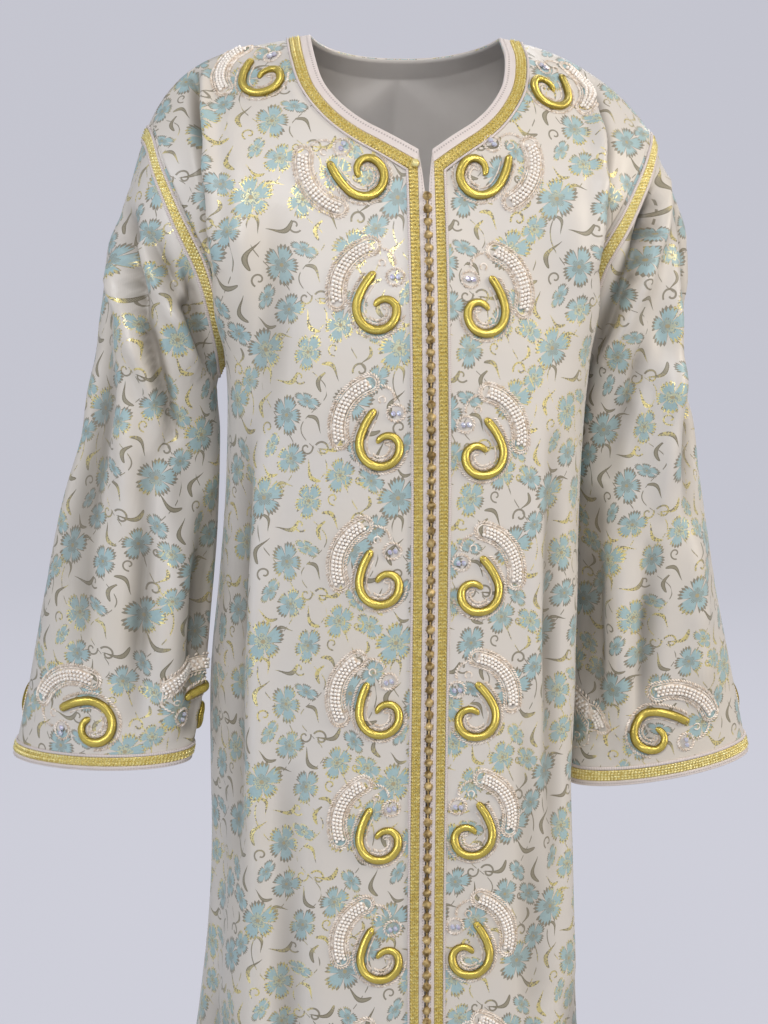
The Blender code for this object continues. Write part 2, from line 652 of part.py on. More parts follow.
def strip(inner, outer, inner_up, outer_up, thick, ring):
    """Flat trim along two lines of points on a panel, moved out from it."""
    first = inner + TRIM_LIFT * inner_up
    second = outer + TRIM_LIFT * outer_up
    third = outer + (TRIM_LIFT + thick) * outer_up
    fourth = inner + (TRIM_LIFT + thick) * inner_up
    stations = np.stack([first, second, third, fourth], 1)
    return loft(stations, ring)


def loft(stations, ring):
    """Closed body through equal sections, capped at its two ends unless it is a ring."""
    count, sides = stations.shape[:2]
    last = count if ring else count - 1
    faces = []
    for s in range(last):
        nxt = (s + 1) % count
        for k in range(sides):
            a, b = s * sides + k, s * sides + (k + 1) % sides
            c, d = nxt * sides + (k + 1) % sides, nxt * sides + k
            if k == sides - 1:
                faces += [[a, b, d], [b, c, d]]
            else:
                faces += [[a, b, c], [a, c, d]]
    if not ring:
        end = (count - 1) * sides
        for k in range(1, sides - 1):
            faces.append([0, k + 1, k])
            faces.append([end, end + k, end + k + 1])
    return stations.reshape(-1, 3), faces


def facing_out(placed, faces):
    """The same faces, turned over if the body they close is inside out."""
    corner = placed[np.array(faces)]
    volume = np.einsum("ij,ij->i", corner[:, 0], np.cross(corner[:, 1], corner[:, 2])).sum()
    return faces if volume > 0 else [face[::-1] for face in faces]


def between(panel, block, column, share_in, share_out):
    """Two lines of points, with their normals, inside one column of cells of a panel's block."""
    index = panel.maps[block]
    near, far = panel.outer[index[:, column]], panel.outer[index[:, column + 1]]
    near_up, far_up = panel.normals[index[:, column]], panel.normals[index[:, column + 1]]
    width = np.linalg.norm(far - near, axis=1, keepdims=True)
    lines = []
    for share in (share_in / width, 1.0 - share_out / width):
        lines.append(near + share * (far - near))
        lines.append(unit(near_up + share * (far_up - near_up)))
    return lines


def add(name, placed, faces, material, collection):
    """A named object from points and faces."""
    mesh = bpy.data.meshes.new(name)
    mesh.from_pydata(placed.tolist(), [], facing_out(placed, faces))
    mesh.materials.append(material)
    mesh.shade_smooth()
    mesh.set_sharp_from_angle(angle=SHARP_ANGLE)
    obj = bpy.data.objects.new(name, mesh)
    collection.objects.link(obj)
    return obj


def make_materials():
    """One Principled material for each finish."""
    made = {}
    for name, (colour, roughness, metallic) in MATERIALS.items():
        material = bpy.data.materials.new(name)
        material.use_nodes = True
        shader = material.node_tree.nodes["Principled BSDF"]
        shader.inputs["Base Color"].default_value = (*colour, 1.0)
        shader.inputs["Roughness"].default_value = roughness
        shader.inputs["Metallic"].default_value = metallic
        made[name] = material
    return made


def side_name(side):
    """The wearer's side."""
    return "left" if side > 0 else "right"


def front_trims(side, front, back, add_piece):
    """Edging, gold braid and piping up the slot and round the neck to the centre back."""
    finishes = (
        ("edging", "pale_trim", EDGING_THICK),
        ("braid", "gold", BRAID_THICK),
        ("piping", "pale_trim", PIPING_THICK),
    )
    band = 2 if side > 0 else 3
    for column, (name, material, thick) in enumerate(finishes):
        start = BUTTON_SIDE_GAP if column == 0 else TRIM_SIDE_GAP
        shares = np.full((LOW_ROWS + HIGH_ROWS + 1, 1), TRIM_SIDE_GAP)
        shares[: LOW_ROWS + CORNER_ROW] = start
        up = between(front, 0, column, shares, TRIM_SIDE_GAP)
        down = between(back, band, column, TRIM_SIDE_GAP, TRIM_SIDE_GAP)
        lines = [np.concatenate([rise, fall[1:]]) for rise, fall in zip(up, down)]
        for line in lines[::2]:
            line[-1, 0] = side * TRIM_SIDE_GAP
        placed, faces = strip(lines[0], lines[2], lines[1], lines[3], thick, False)
        add_piece(f"neck_{name}_{side_name(side)}", placed, faces, material)


def ring_trims(side, panel, rows, names, add_piece):
    """Closed bands round a sleeve, each inside one row of its cells."""
    index = panel.maps[0]
    for row, (name, material, thick) in zip(rows, names):
        near, far = panel.outer[index[row]], panel.outer[index[row + 1]]
        near_up, far_up = panel.normals[index[row]], panel.normals[index[row + 1]]
        width = np.linalg.norm(far - near, axis=1, keepdims=True)
        share = TRIM_SIDE_GAP / width
        first, first_up = near + share * (far - near), unit(near_up + share * (far_up - near_up))
        second, second_up = far - share * (far - near), unit(far_up - share * (far_up - near_up))
        placed, faces = strip(first, second, first_up, second_up, thick, True)
        add_piece(f"{name}_{side_name(side)}", placed, faces, material)


def button_strand():
    """The column of knotted buttons as one beaded strand: a wide ring and a narrow ring for each."""
    drops = np.arange(FIRST_BUTTON, LAST_BUTTON, BUTTON_PITCH)
    levels = np.stack([drops, drops + 0.5 * BUTTON_PITCH], -1).reshape(-1)
    half = np.tile([0.5 * BUTTON, 0.5 * THREAD], len(drops))
    out = read(PROFILE_COLUMNS, PROFILE, "front", levels) + BUTTON_LIFT
    angle = np.arange(4) * 0.5 * math.pi
    across = opening(levels)[:, None] + half[:, None] * np.cos(angle)
    behind = -out[:, None] - half[:, None] * np.sin(angle)
    heights = np.tile(-levels[:, None], (1, len(angle)))
    return loft(np.stack([across, behind, heights], -1), False)


def scroll_line():
    """The scroll's centre line in its own plane, outwards and up, with its width at each point."""
    place, heading, line = np.array(SCROLL_HEAD), math.radians(SCROLL_HEADING), []
    for radius, turn in SCROLL_ARCS:
        turn = math.radians(turn)
        steps = max(1, round(radius * turn / SCROLL_STEP))
        centre = place + radius * np.array([math.sin(heading), -math.cos(heading)])
        for k in range(steps):
            at = heading - turn * k / steps
            line.append(centre + radius * np.array([-math.sin(at), math.cos(at)]))
        heading -= turn
        place = centre + radius * np.array([-math.sin(heading), math.cos(heading)])
    line.append(place)
    line = np.array(line)
    run = np.concatenate([[0.0], np.cumsum(np.linalg.norm(np.diff(line, axis=0), axis=1))])
    return line, SCROLL_WIDTH * np.interp(run / run[-1], *zip(*SCROLL_TAPER))


def scroll_places(side):
    """Name, across, drop and turn of each scroll on a front panel."""
    places = SCROLL_PLACES[side]
    column = list(places["column"])
    for _ in range(FRONT_SCROLLS - len(column)):
        across, drop, turn = column[-1]
        column.append((across, drop + SCROLL_PITCH, turn))
    named = [(name, *places[name]) for name in ("shoulder", "neck")]
    return named + [(f"front_{k:02d}", *place) for k, place in enumerate(column, start=1)]


def scroll(chart, skin):
    """A padded scroll laid on a panel: its outline is carried there by the chart and lifted clear."""
    line, width = scroll_line()
    tangent = unit(np.gradient(line, axis=0))
    across = np.stack([-tangent[:, 1], tangent[:, 0]], -1)
    stations = np.zeros((len(line), len(SCROLL_SECTION), 3))
    for k, (aside, rise) in enumerate(SCROLL_SECTION):
        flat = line + across * (aside * width)[:, None]
        placed, up = chart(flat)
        height = SCROLL_LIFT + rise * SCROLL_HEIGHT * width / SCROLL_WIDTH
        for i in range(len(line)):
            ground, normal, _, _ = skin.find_nearest(Vector(placed[i]))
            away = unit(np.array(normal) + up[i])
            stations[i, k] = np.array(ground) + away * height[i]
    for _ in range(CLEARING_STEPS):
        raise_clear(stations, skin)
    return loft(stations, False)


def raise_clear(stations, skin):
    """Raise the sections between which the underside comes too close to the cloth."""
    under = stations[:, [0, 3]]
    tests = [0.5 * (under[:-1, k] + under[1:, j]) for k in (0, 1) for j in (0, 1)]
    tests.append(0.25 * (under[:-1] + under[1:]).sum(axis=1))
    for i in range(len(stations) - 1):
        short, way = 0.0, None
        for test in tests:
            ground, normal, _, _ = skin.find_nearest(Vector(test[i]))
            gap = (test[i] - np.array(ground)).dot(np.array(normal))
            if SCROLL_CLEAR - gap > short:
                short, way = SCROLL_CLEAR - gap, np.array(normal)
        if way is not None:
            stations[i] += way * short
            stations[i + 1] += way * short


def turned(flat, turn):
    """Points of the scroll's plane turned clockwise by degrees."""
    angle = math.radians(-turn)
    x = flat[:, 0] * math.cos(angle) - flat[:, 1] * math.sin(angle)
    return np.stack([x, flat[:, 0] * math.sin(angle) + flat[:, 1] * math.cos(angle)], -1)


def body_chart(side, skin, across, drop, turn):
    """Carries the scroll's plane to the front panel round one point, turned clockwise by degrees."""
    start = Vector((side * across, -LENGTH, -drop))
    ground, normal, _, _ = skin.ray_cast(start, Vector((0.0, 1.0, 0.0)))
    out = np.array(normal)
    outwards = unit(np.array([side, 0.0, 0.0]) - side * out[0] * out)
    up = side * np.cross(out, outwards)

    def chart(flat):
        x, z = turned(flat, turn).T
        placed = np.array(ground) + x[:, None] * outwards + z[:, None] * up
        return placed, np.tile(out, (len(flat), 1))

    return chart


def cuff_chart(panel, share, height, scale, turn):
    """Carries the scroll's plane, laid on its side, to a sleeve at a share of the way round its cuff."""
    index = panel.maps[0]
    rows = panel.outer[index[-len(CUFF_BANDS) - CUFF_CHART_ROWS :]][::-1]
    rises = np.linalg.norm(np.diff(rows, axis=0), axis=-1).mean(axis=1)
    rises = np.concatenate([[0.0], np.cumsum(rises)])

    def chart(flat):
        placed = []
        for outwards, up in scale * turned(flat, turn)[:, ::-1]:
            rise = height + up
            low = int(np.clip(np.searchsorted(rises, rise) - 1, 0, len(rises) - 2))
            part = (rise - rises[low]) / (rises[low + 1] - rises[low])
            ring = rows[low] + part * (rows[low + 1] - rows[low])
            ring = np.concatenate([ring, ring[:1]])
            around = np.linalg.norm(np.diff(ring, axis=0), axis=1)
            run = np.concatenate([[0.0], np.cumsum(around)])
            at = (share * run[-1] - outwards) % run[-1]
            placed.append([np.interp(at, run, ring[:, k]) for k in range(3)])
        placed = np.array(placed)
        middle = rows.mean(axis=(0, 1))
        out = placed - middle
        out[:, 2] = 0.0
        return placed, unit(out)

    return chart


def skin_tree(panel):
    """Search tree over a panel's outer skin."""
    return BVHTree.FromPolygons(panel.outer.tolist(), panel.faces.tolist())


def build():
    """Build every piece of the kaftan."""
    for obj in list(bpy.data.objects):
        bpy.data.objects.remove(obj, do_unlink=True)
    collection = bpy.data.collections.new("kaftan")
    bpy.context.scene.collection.children.link(collection)
    materials = make_materials()

    def add_piece(name, placed, faces, material):
        add(name, placed, faces, materials[material], collection)

    fronts = {side: Panel(f"front_{side_name(side)}", [front_panel(side)], [side < 0]) for side in (1, -1)}
    halves, bands = zip(*(back_half(side) for side in (1, -1)))
    back = Panel("back", [*halves, *bands], [True, False, False, True])
    sleeves = {}
    for side in (1, -1):
        front_edge = fronts[side].blocks[0][LOW_ROWS:, -1]
        back_edge = halves[0 if side > 0 else 1][LOW_ROWS:, -1]
        ring = np.concatenate([front_edge[::-1], back_edge[1:-1]])
        sleeves[side] = Panel(f"sleeve_{side_name(side)}", [sleeve(side, ring)], [side < 0], ring=True)
    panels = [*fronts.values(), back, *sleeves.values()]
    join_seams(panels)
    for panel in panels:
        placed, faces = panel.wall()
        add_piece(panel.name, placed, faces, "brocade")

    for side in (1, -1):
        front_trims(side, fronts[side], back, add_piece)
        bands = (
            ("armhole_inner_cord", "pale_trim", EDGING_THICK),
            ("armhole_braid", "gold", BRAID_THICK),
            ("armhole_outer_cord", "pale_trim", EDGING_THICK),
        )
        ring_trims(side, sleeves[side], (1, 2, 3), bands, add_piece)
        last = len(sleeves[side].maps[0]) - len(CUFF_BANDS)
        bands = (
            ("cuff_cord", "pale_trim", PIPING_THICK),
            ("cuff_braid", "gold", BRAID_THICK),
            ("cuff_edging", "pale_trim", EDGING_THICK),
        )
        ring_trims(side, sleeves[side], (last, last + 1, last + 2), bands, add_piece)
        skin = skin_tree(fronts[side])
        for name, across, drop, turn in scroll_places(side):
            chart = body_chart(side, skin, across, drop, turn)
            placed, faces = scroll(chart, skin)
            add_piece(f"scroll_{name}_{side_name(side)}", placed, faces, "gold")
        skin = skin_tree(sleeves[side])
        for k, share in enumerate(CUFF_SCROLL_SHARES[side], start=1):
            turn = CUFF_SCROLL_TURN[side]
            chart = cuff_chart(sleeves[side], share, CUFF_SCROLL_RISE[side], CUFF_SCROLL_SIZE, turn)
            placed, faces = scroll(chart, skin)
            add_piece(f"scroll_cuff_{k}_{side_name(side)}", placed, faces, "gold")

    placed, faces = button_strand()
    add_piece("buttons", placed, faces, "button_thread")


build()
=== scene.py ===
"""Ivory brocade kaftan dressed over its packed form: cloth, trims, gold scrolls and beadwork.

Metres, +Z up, the front faces -Y and the wearer's left side is at +X. "Across" is the distance
from the centre line, "behind" is +Y and "drop" is the distance below the side-neck points. Every
piece of cloth is a smooth grid of points; trims and embroidery are laid along these grids.
"""

import math
from functools import partialmethod

import bmesh
import bpy
import numpy as np
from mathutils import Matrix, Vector


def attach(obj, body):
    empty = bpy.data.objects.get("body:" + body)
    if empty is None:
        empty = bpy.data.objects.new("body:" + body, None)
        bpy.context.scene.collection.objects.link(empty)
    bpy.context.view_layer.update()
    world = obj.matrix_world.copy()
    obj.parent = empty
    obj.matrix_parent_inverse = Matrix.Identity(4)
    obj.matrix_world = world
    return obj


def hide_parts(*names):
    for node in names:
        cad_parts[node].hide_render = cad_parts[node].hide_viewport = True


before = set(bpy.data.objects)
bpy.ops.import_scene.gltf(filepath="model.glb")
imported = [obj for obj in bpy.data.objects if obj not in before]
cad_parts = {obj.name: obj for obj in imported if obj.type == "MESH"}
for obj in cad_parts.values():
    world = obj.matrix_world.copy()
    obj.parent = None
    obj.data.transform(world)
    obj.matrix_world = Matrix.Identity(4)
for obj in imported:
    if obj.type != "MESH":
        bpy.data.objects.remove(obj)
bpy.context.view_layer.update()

# Sizes of the cut
LENGTH = 1.450
UNDERARM = 0.285
SLOT = 0.0018

# Panel grid
LOW_ROWS = 12
HIGH_ROWS = 12
CORNER_ROW = 4
CORNER_DROP = 0.137
NAPE_ROW = 7
NAPE_DROP = 0.060
SIDE_COLUMNS = 9
NECK_EASE = 0.8
CURVE_SAMPLES = 80
EASING_STEPS = 5

# Trim widths, from the garment's edge inwards: edging, gold braid, piping
FRONT_TRIM = (0.0052, 0.0131, 0.0154)
NECK_TRIM = (0.0096, 0.0195, 0.0221)
TRIM_LIFT = 0.0003
EDGING_THICK = 0.0011

# Rings near a sleeve's two ends, as distances from its edges
ARMHOLE_BANDS = (0.0, 0.0030, 0.0061, 0.0163, 0.0195)
CUFF_BANDS = (0.0162, 0.0131, 0.0043, 0.0)
HEAD_ROWS = 4
ARM_ROWS = 6
HEAD_REACH = (0.34, 0.36)
# The way a sleeve leaves the armhole: outwards and its change round the ring, sideways, downwards
HEAD_LEAD = (0.54, 0.20, 0.80)
TRIM_HOLD = 0.03
FOLD_FADE = 0.35

BUTTON = 0.0068
BUTTON_PITCH = 0.0108
BUTTON_LIFT = 0.0021
BUTTON_FORM = (1.04, 1.0, 1.22)
LINK_SIZE = (0.42 * BUTTON_PITCH, 0.0010, 0.0011)
LOOP_PLACE = (0.0026, 0.0010, 0.0008)
LOOP_SIZE = (0.0020, 0.0009, 0.0009)
CORNER_KNOT = (0.0037, 0.0037, 0.0030)
FIRST_BUTTON = 0.143
LAST_BUTTON = 1.444

SCROLL_WIDTH = 0.0076
SCROLL_STEP = 0.0016
SCROLL_TAPER = ((0.0, 0.95), (0.12, 1.0), (0.75, 1.0), (1.0, 0.72))
SCROLL_PITCH = 0.1120
FRONT_SCROLLS = 11
CUFF_SCROLL_SIZE = 1.12
CUFF_SCROLL_RISE = {-1: 0.0565, 1: 0.0600}
CUFF_SCROLL_SHARES = {-1: (0.212, 0.505, 0.720, 0.920), 1: (0.283, 0.575, 0.770, 0.935)}
CUFF_SCROLL_TURN = {-1: 14.0, 1: 2.0}

# Front and back lines of the body: how far each stands from the shoulder line at a drop
PROFILE_COLUMNS = ("drop", "front", "back")
PROFILE = (
    (0.012, 0.07, 0.055),
    (0.06, 0.08, 0.083),
    (0.104, 0.091, 0.098),
    (0.15, 0.104, 0.109),
    (0.21, 0.12, 0.115),
    (0.285, 0.129, 0.114),
    (0.4, 0.129, 0.113),
    (0.58, 0.131, 0.122),
    (0.8, 0.138, 0.14),
    (0.95, 0.15, 0.153),
    (1.15, 0.172, 0.178),
    (1.45, 0.205, 0.212),
)

# Where the front opening hangs, towards the wearer's left of the middle
OPENING_COLUMNS = ("drop", "across")
OPENING = (
    (0.104, 0.005),
    (0.235, 0.0044),
    (0.41, 0.0058),
    (0.585, 0.0045),
    (0.75, 0.0028),
    (0.95, 0.0015),
    (1.45, 0.0),
)

# Half widths of the body at its side seams, on the wearer's right (-X) and left (+X)
GIRTH_COLUMNS = ("drop", "right", "left", "behind")
GIRTH = (
    (0.285, 0.163, 0.162, -0.006),
    (0.4, 0.166, 0.158, -0.002),
    (0.58, 0.184, 0.156, 0.0),
    (0.8, 0.188, 0.157, 0.002),
    (0.93, 0.204, 0.169, 0.003),
    (1.15, 0.236, 0.205, 0.004),
    (1.45, 0.278, 0.252, 0.005),
)

# Neckline of a front panel from the corner above the slot to the side-neck point, with the
# heading (degrees from straight outwards, + to the back) and dip of the cloth that leaves it
NECK_COLUMNS = ("share", "across", "behind", "drop", "heading", "dip")
FRONT_NECK = (
    (0.0, 0.006, -0.091, 0.104, -90.0, 74.0),
    (0.2, 0.026, -0.0865, 0.092, -82.0, 66.0),
    (0.42, 0.049, -0.077, 0.0785, -68.0, 56.0),
    (0.62, 0.068, -0.0625, 0.061, -50.0, 46.0),
    (0.8, 0.081, -0.043, 0.037, -28.0, 30.0),
    (0.92, 0.0848, -0.019, 0.012, -10.0, 16.0),
    (1.0, 0.085, 0.005, 0.0, 0.0, 10.0),
)
BACK_NECK = (
    (0.0, 0.0, 0.055, 0.012, 90.0, 50.0),
    (0.35, 0.034, 0.052, 0.011, 74.0, 44.0),
    (0.7, 0.068, 0.034, 0.006, 40.0, 26.0),
    (1.0, 0.085, 0.005, 0.0, 0.0, 10.0),
)

# Armhole edge from the underarm to the shoulder point, with the heading and dip of a row as it
# arrives there, and the reach of its curve at its two ends as shares of its chord
ARMHOLE_COLUMNS = ("share", "across", "behind", "drop", "heading", "dip", "start", "end")
FRONT_ARMHOLE = {
    -1: (
        (0.0, 0.0, -0.006, 0.285, 90.0, 0.0, 0.56, 0.45),
        (0.22, 0.166, -0.036, 0.252, 112.0, 0.0, 0.54, 0.44),
        (0.45, 0.178, -0.05, 0.2, 100.0, 2.0, 0.48, 0.42),
        (0.7, 0.202, -0.051, 0.146, 50.0, 18.0, 0.42, 0.38),
        (0.84, 0.217, -0.038, 0.107, 26.0, 40.0, 0.37, 0.42),
        (0.93, 0.224, -0.014, 0.0815, 10.0, 57.0, 0.36, 0.45),
        (1.0, 0.228, 0.01, 0.0755, 4.0, 64.0, 0.36, 0.45),
    ),
    1: (
        (0.0, 0.0, -0.006, 0.285, 90.0, 0.0, 0.56, 0.45),
        (0.22, 0.156, -0.036, 0.252, 112.0, 0.0, 0.54, 0.44),
        (0.45, 0.16, -0.05, 0.2, 100.0, 2.0, 0.48, 0.42),
        (0.7, 0.189, -0.051, 0.146, 50.0, 18.0, 0.42, 0.38),
        (0.84, 0.209, -0.038, 0.107, 26.0, 36.0, 0.34, 0.38),
        (0.93, 0.221, -0.014, 0.083, 10.0, 48.0, 0.3, 0.38),
        (1.0, 0.226, 0.01, 0.077, 4.0, 54.0, 0.28, 0.34),
    ),
}
BACK_ARMHOLE = {
    -1: (
        (0.0, 0.0, -0.006, 0.285, -90.0, 0.0, 0.56, 0.45),
        (0.2, 0.172, 0.04, 0.258, -70.0, 0.0, 0.52, 0.36),
        (0.45, 0.186, 0.068, 0.205, -52.0, 4.0, 0.46, 0.34),
        (0.7, 0.208, 0.062, 0.15, -36.0, 18.0, 0.4, 0.34),
        (0.84, 0.219, 0.051, 0.11, -22.0, 38.0, 0.37, 0.4),
        (0.93, 0.226, 0.031, 0.0835, -4.0, 54.0, 0.36, 0.44),
        (1.0, 0.228, 0.01, 0.0755, 4.0, 64.0, 0.36, 0.45),
    ),
    1: (
        (0.0, 0.0, -0.006, 0.285, -90.0, 0.0, 0.56, 0.45),
        (0.2, 0.17, 0.04, 0.258, -70.0, 0.0, 0.52, 0.36),
        (0.45, 0.182, 0.068, 0.205, -52.0, 4.0, 0.46, 0.34),
        (0.7, 0.203, 0.062, 0.15, -36.0, 18.0, 0.4, 0.34),
        (0.84, 0.216, 0.051, 0.11, -22.0, 34.0, 0.34, 0.38),
        (0.93, 0.223, 0.031, 0.085, -4.0, 46.0, 0.3, 0.38),
        (1.0, 0.226, 0.01, 0.077, 4.0, 54.0, 0.28, 0.34),
    ),
}

# Sleeves as rings: centre, half width, half depth, turn of the ring seen from above (degrees)
# and how much lower the inner side hangs than the centre
SLEEVE_COLUMNS = ("share", "drop", "across", "behind", "half_width", "half_depth", "turn", "hang")
SLEEVE_RIGHT = (
    (0.0, 0.355, 0.233, 0.01, 0.062, 0.064, 0.0, 0.0),
    (0.28, 0.438, 0.2475, 0.006, 0.073, 0.061, 4.0, 0.0),
    (0.56, 0.522, 0.262, -0.002, 0.0795, 0.057, 9.0, -0.002),
    (0.8, 0.594, 0.2735, -0.008, 0.0835, 0.053, 13.0, -0.004),
    (1.0, 0.651, 0.287, -0.012, 0.086, 0.05, 17.0, -0.006),
)
SLEEVE_LEFT = (
    (0.0, 0.355, 0.219, 0.018, 0.056, 0.066, 0.0, 0.0),
    (0.28, 0.44, 0.228, 0.018, 0.0625, 0.062, 0.0, 0.001),
    (0.56, 0.53, 0.239, 0.014, 0.071, 0.057, 1.0, 0.006),
    (0.8, 0.61, 0.2475, 0.01, 0.08, 0.051, 2.0, 0.01),
    (1.0, 0.687, 0.2535, 0.006, 0.091, 0.046, 2.0, 0.012),
)

# Folds of a front panel and of the back: share of the way along a row at the fold's top and foot,
# the drops between which it runs, its height (- for a trough) and its half width as a share
FRONT_FOLDS = (
    (0.52, 0.78, 0.06, 0.29, 0.006, 0.14),
    (0.8, 0.96, 0.06, 0.25, -0.005, 0.11),
    (0.52, 0.5, 0.56, 1.45, 0.008, 0.11),
    (0.76, 0.74, 0.5, 1.45, -0.009, 0.09),
    (0.24, 0.22, 0.82, 1.45, -0.008, 0.1),
)
BACK_FOLDS = (
    (0.3, 0.26, 0.2, 1.45, -0.009, 0.11),
    (0.56, 0.52, 0.42, 1.45, 0.01, 0.11),
    (0.8, 0.78, 0.16, 1.45, -0.01, 0.09),
)
# Folds of the sleeves: places round the ring (degrees from the outermost point through the front)
# and along the sleeve at the fold's two ends, its height and its half width in degrees
SLEEVE_FOLDS = {
    -1: (
        (62.0, 150.0, 0.12, 0.62, -0.0075, 15.0),
        (36.0, 66.0, 0.14, 0.66, -0.006, 13.0),
        (250.0, 215.0, 0.1, 0.7, -0.007, 16.0),
        (300.0, 320.0, 0.2, 0.9, 0.006, 18.0),
    ),
    1: (
        (30.0, 150.0, 0.08, 0.5, -0.01, 17.0),
        (64.0, 60.0, 0.3, 0.9, 0.005, 16.0),
        (255.0, 220.0, 0.1, 0.7, -0.0075, 16.0),
        (310.0, 300.0, 0.22, 0.92, 0.006, 18.0),
        (-5.0, 5.0, -0.1, 0.26, 0.0075, 50.0),
    ),
}

# The scroll's centre line as arcs: radius in metres and turn in degrees, from its head
SCROLL_ARCS = ((0.0614, 24.6), (0.0217, 38.6), (0.0172, 90.0), (0.0157, 75.1), (0.0096, 92.5), (0.0098, 59.1))
SCROLL_HEAD = (-0.0067, 0.0282)
SCROLL_HEADING = -44.7

# Places of the scrolls on a front panel: across, drop and turn in degrees. The column goes on from
# its last row to the hem, one pitch apart
SCROLL_PLACES = {
    -1: {
        "shoulder": (0.1377, 0.0442, 12.8),
        "neck": (0.0544, 0.1333, 64.0),
        "column": (
            (0.0475, 0.2345, 0.0),
            (0.0462, 0.3489, 4.4),
            (0.0468, 0.469, 10.0),
            (0.0472, 0.5853, 16.0),
            (0.048, 0.6977, 10.1),
            (0.0478, 0.807, 9.0),
        ),
    },
    1: {
        "shoulder": (0.1293, 0.0539, 26.6),
        "neck": (0.058, 0.1306, 52.6),
        "column": (
            (0.0609, 0.2388, 5.8),
            (0.0591, 0.3571, -1.1),
            (0.0564, 0.476, -1.3),
            (0.0545, 0.5872, -3.9),
            (0.0523, 0.6964, 4.6),
            (0.0502, 0.8062, 4.4),
        ),
    },
}

# Sizes of what is sewn on
STITCH_PITCH = 0.0025
STITCH_SIZE = (0.00205, 0.00092, 0.00120)
STITCH_LIFT = 0.0005
ROPE_SLANT = 42.0
PLAIT_HALF = 0.00150
PLAIT_SLANT = 34.0
BAND_HALF = 0.0047
BAND_RISE = 0.0007
PEARL = 0.0034
PEARL_PITCH = 0.0034
CORD = 0.00070
CORD_FILL = 0.46
KNOT = 0.0011
CRYSTAL = 0.0046
CRYSTAL_SHAPE = (0.62, 0.5, 0.42)
SLANT_STEP = 0.0008
SCROLL_SIDES = 12
SCROLL_SINK = 0.45
SCROLL_LOFT = 0.80
GROUND_REACH = 0.085
BRAID_SHARES = (0.0, 0.04, 0.2, 0.5, 0.8, 0.96, 1.0)
BRAID_HEIGHTS = (0.0, 0.8, 1.0, 1.0, 1.0, 0.8, 0.0)
BRAID_BASE = 0.0006
BRAID_CHAINS = 2
BRAID_PITCH = 0.0032
BRAID_SLANT = 36.0
BRAID_RISE = 0.0019
EDGING_SHARES = (0.0, 0.03, 0.14, 0.32, 0.5, 0.68, 0.86, 0.97, 1.0)
EDGING_HEIGHTS = (0.0, 0.8, 1.0, 0.8, 0.95, 0.8, 1.0, 0.8, 0.0)
EDGING_RIB = 0.00105
EDGING_HOLE_PITCH = 0.0026
EDGING_HOLE_LINE = 0.0026
EDGING_HOLE_HALF = 0.00055

# The brocade's repeat, in millimetres: across, up, turn in degrees, radius or length, and narrowness
REPEAT = (122.0, 126.0)
FLOWERS = (
    (22, 26, 10, 18.5, 1.0), (43, 44, 40, 13.5, 1.2), (83, 15, 70, 16.0, 1.0), (103, 27, 150, 12.0, 1.7),
    (62, 70, 25, 18.5, 1.0), (39, 85, 130, 13.5, 1.25), (104, 68, 50, 15.0, 1.1), (87, 104, 5, 14.0, 1.0),
    (68, 115, 235, 11.5, 1.7), (11, 90, 33, 14.5, 1.0), (26, 109, 300, 12.0, 1.5),
)
LEAVES = (
    (60, 24, 75, 25, 1.0), (3, 52, -35, 21, 1.0), (84, 46, 205, 23, 1.0), (80, 80, 20, 18, 1.0),
    (118, 45, 75, 22, 1.0), (48, 106, 100, 24, 1.0), (34, 64, 250, 17, 1.0), (108, 93, 130, 22, 1.0),
    (3, 115, 210, 24, 1.0), (66, 93, 160, 17, 1.0), (64, 49, 300, 16, 1.0), (35, 5, 160, 25, 1.0),
    (110, 8, 320, 19, 1.0),
)
CURLS = ((29, 52, 20, 7.0, 1.0), (96, 47, 140, 6.0, 1.0), (28, 86, 260, 6.0, 1.0), (117, 112, 330, 7.0, 1.0),
         (63, 4, 60, 6.0, 1.0), (102, 113, 200, 6.0, 1.0), (5, 70, 100, 5.5, 1.0))
VINES = ((31.0, 15.0, 0.4, 1), (75.0, 18.0, 2.6, 1), (109.0, 12.0, 4.4, 2))

# Colours, as linear red, green and blue
IVORY = (0.70, 0.665, 0.645)
IVORY_WARM = (0.70, 0.625, 0.525)
TAUPE = (0.215, 0.185, 0.125)
TAUPE_LIGHT = (0.40, 0.36, 0.27)
AQUA = (0.33, 0.47, 0.49)
AQUA_PALE = (0.43, 0.56, 0.565)
HEART = (0.44, 0.37, 0.22)
# GLINT is a painted highlight: bright gold on specks of metal thread, partly their own gold
GLINT = (0.90, 0.76, 0.32)
FOLD_SHADE = (0.15, 0.125, 0.09)
LINING = (0.70, 0.66, 0.62)
LINING_OTHER = (0.66, 0.61, 0.57)
EDGING_PINK = (0.74, 0.64, 0.60)
EDGING_PALE = (0.80, 0.72, 0.68)
# EDGING_HOLE is painted shade in the edging's holes
EDGING_HOLE = (0.26, 0.20, 0.18)
CORD_PALE = (0.82, 0.74, 0.71)
CORD_SHADE = (0.58, 0.49, 0.46)
# On the braid the dark tone is also painted shade on the base between the grains, and the bright flecks are
# partly painted highlights
GOLD_DARK = (0.62, 0.46, 0.10)
GOLD_BRIGHT = (1.0, 0.93, 0.50)
# On a scroll the bright tone is also a painted highlight along the crown and the dark tone painted shade on
# the flanks
SCROLL_DARK = (0.17, 0.115, 0.010)
SCROLL_BRIGHT = (0.84, 0.66, 0.15)
BUTTON_DARK = (0.20, 0.125, 0.04)
BUTTON_LIGHT = (0.76, 0.57, 0.27)
STITCH_BEIGE = (0.66, 0.53, 0.41)
STITCH_IVORY = (0.98, 0.89, 0.80)
PEARL_WARM = (0.95, 0.86, 0.77)
PEARL_WHITE = (1.0, 0.95, 0.89)
CRYSTAL_LILAC = (0.62, 0.55, 0.75)
CRYSTAL_BLUE = (0.78, 0.86, 0.95)
WALL = (0.53, 0.53, 0.585)
WALL_OTHER = (0.51, 0.515, 0.575)
WALL_SHADE = (0.16, 0.16, 0.18)
WALL_GLOW = 0.93

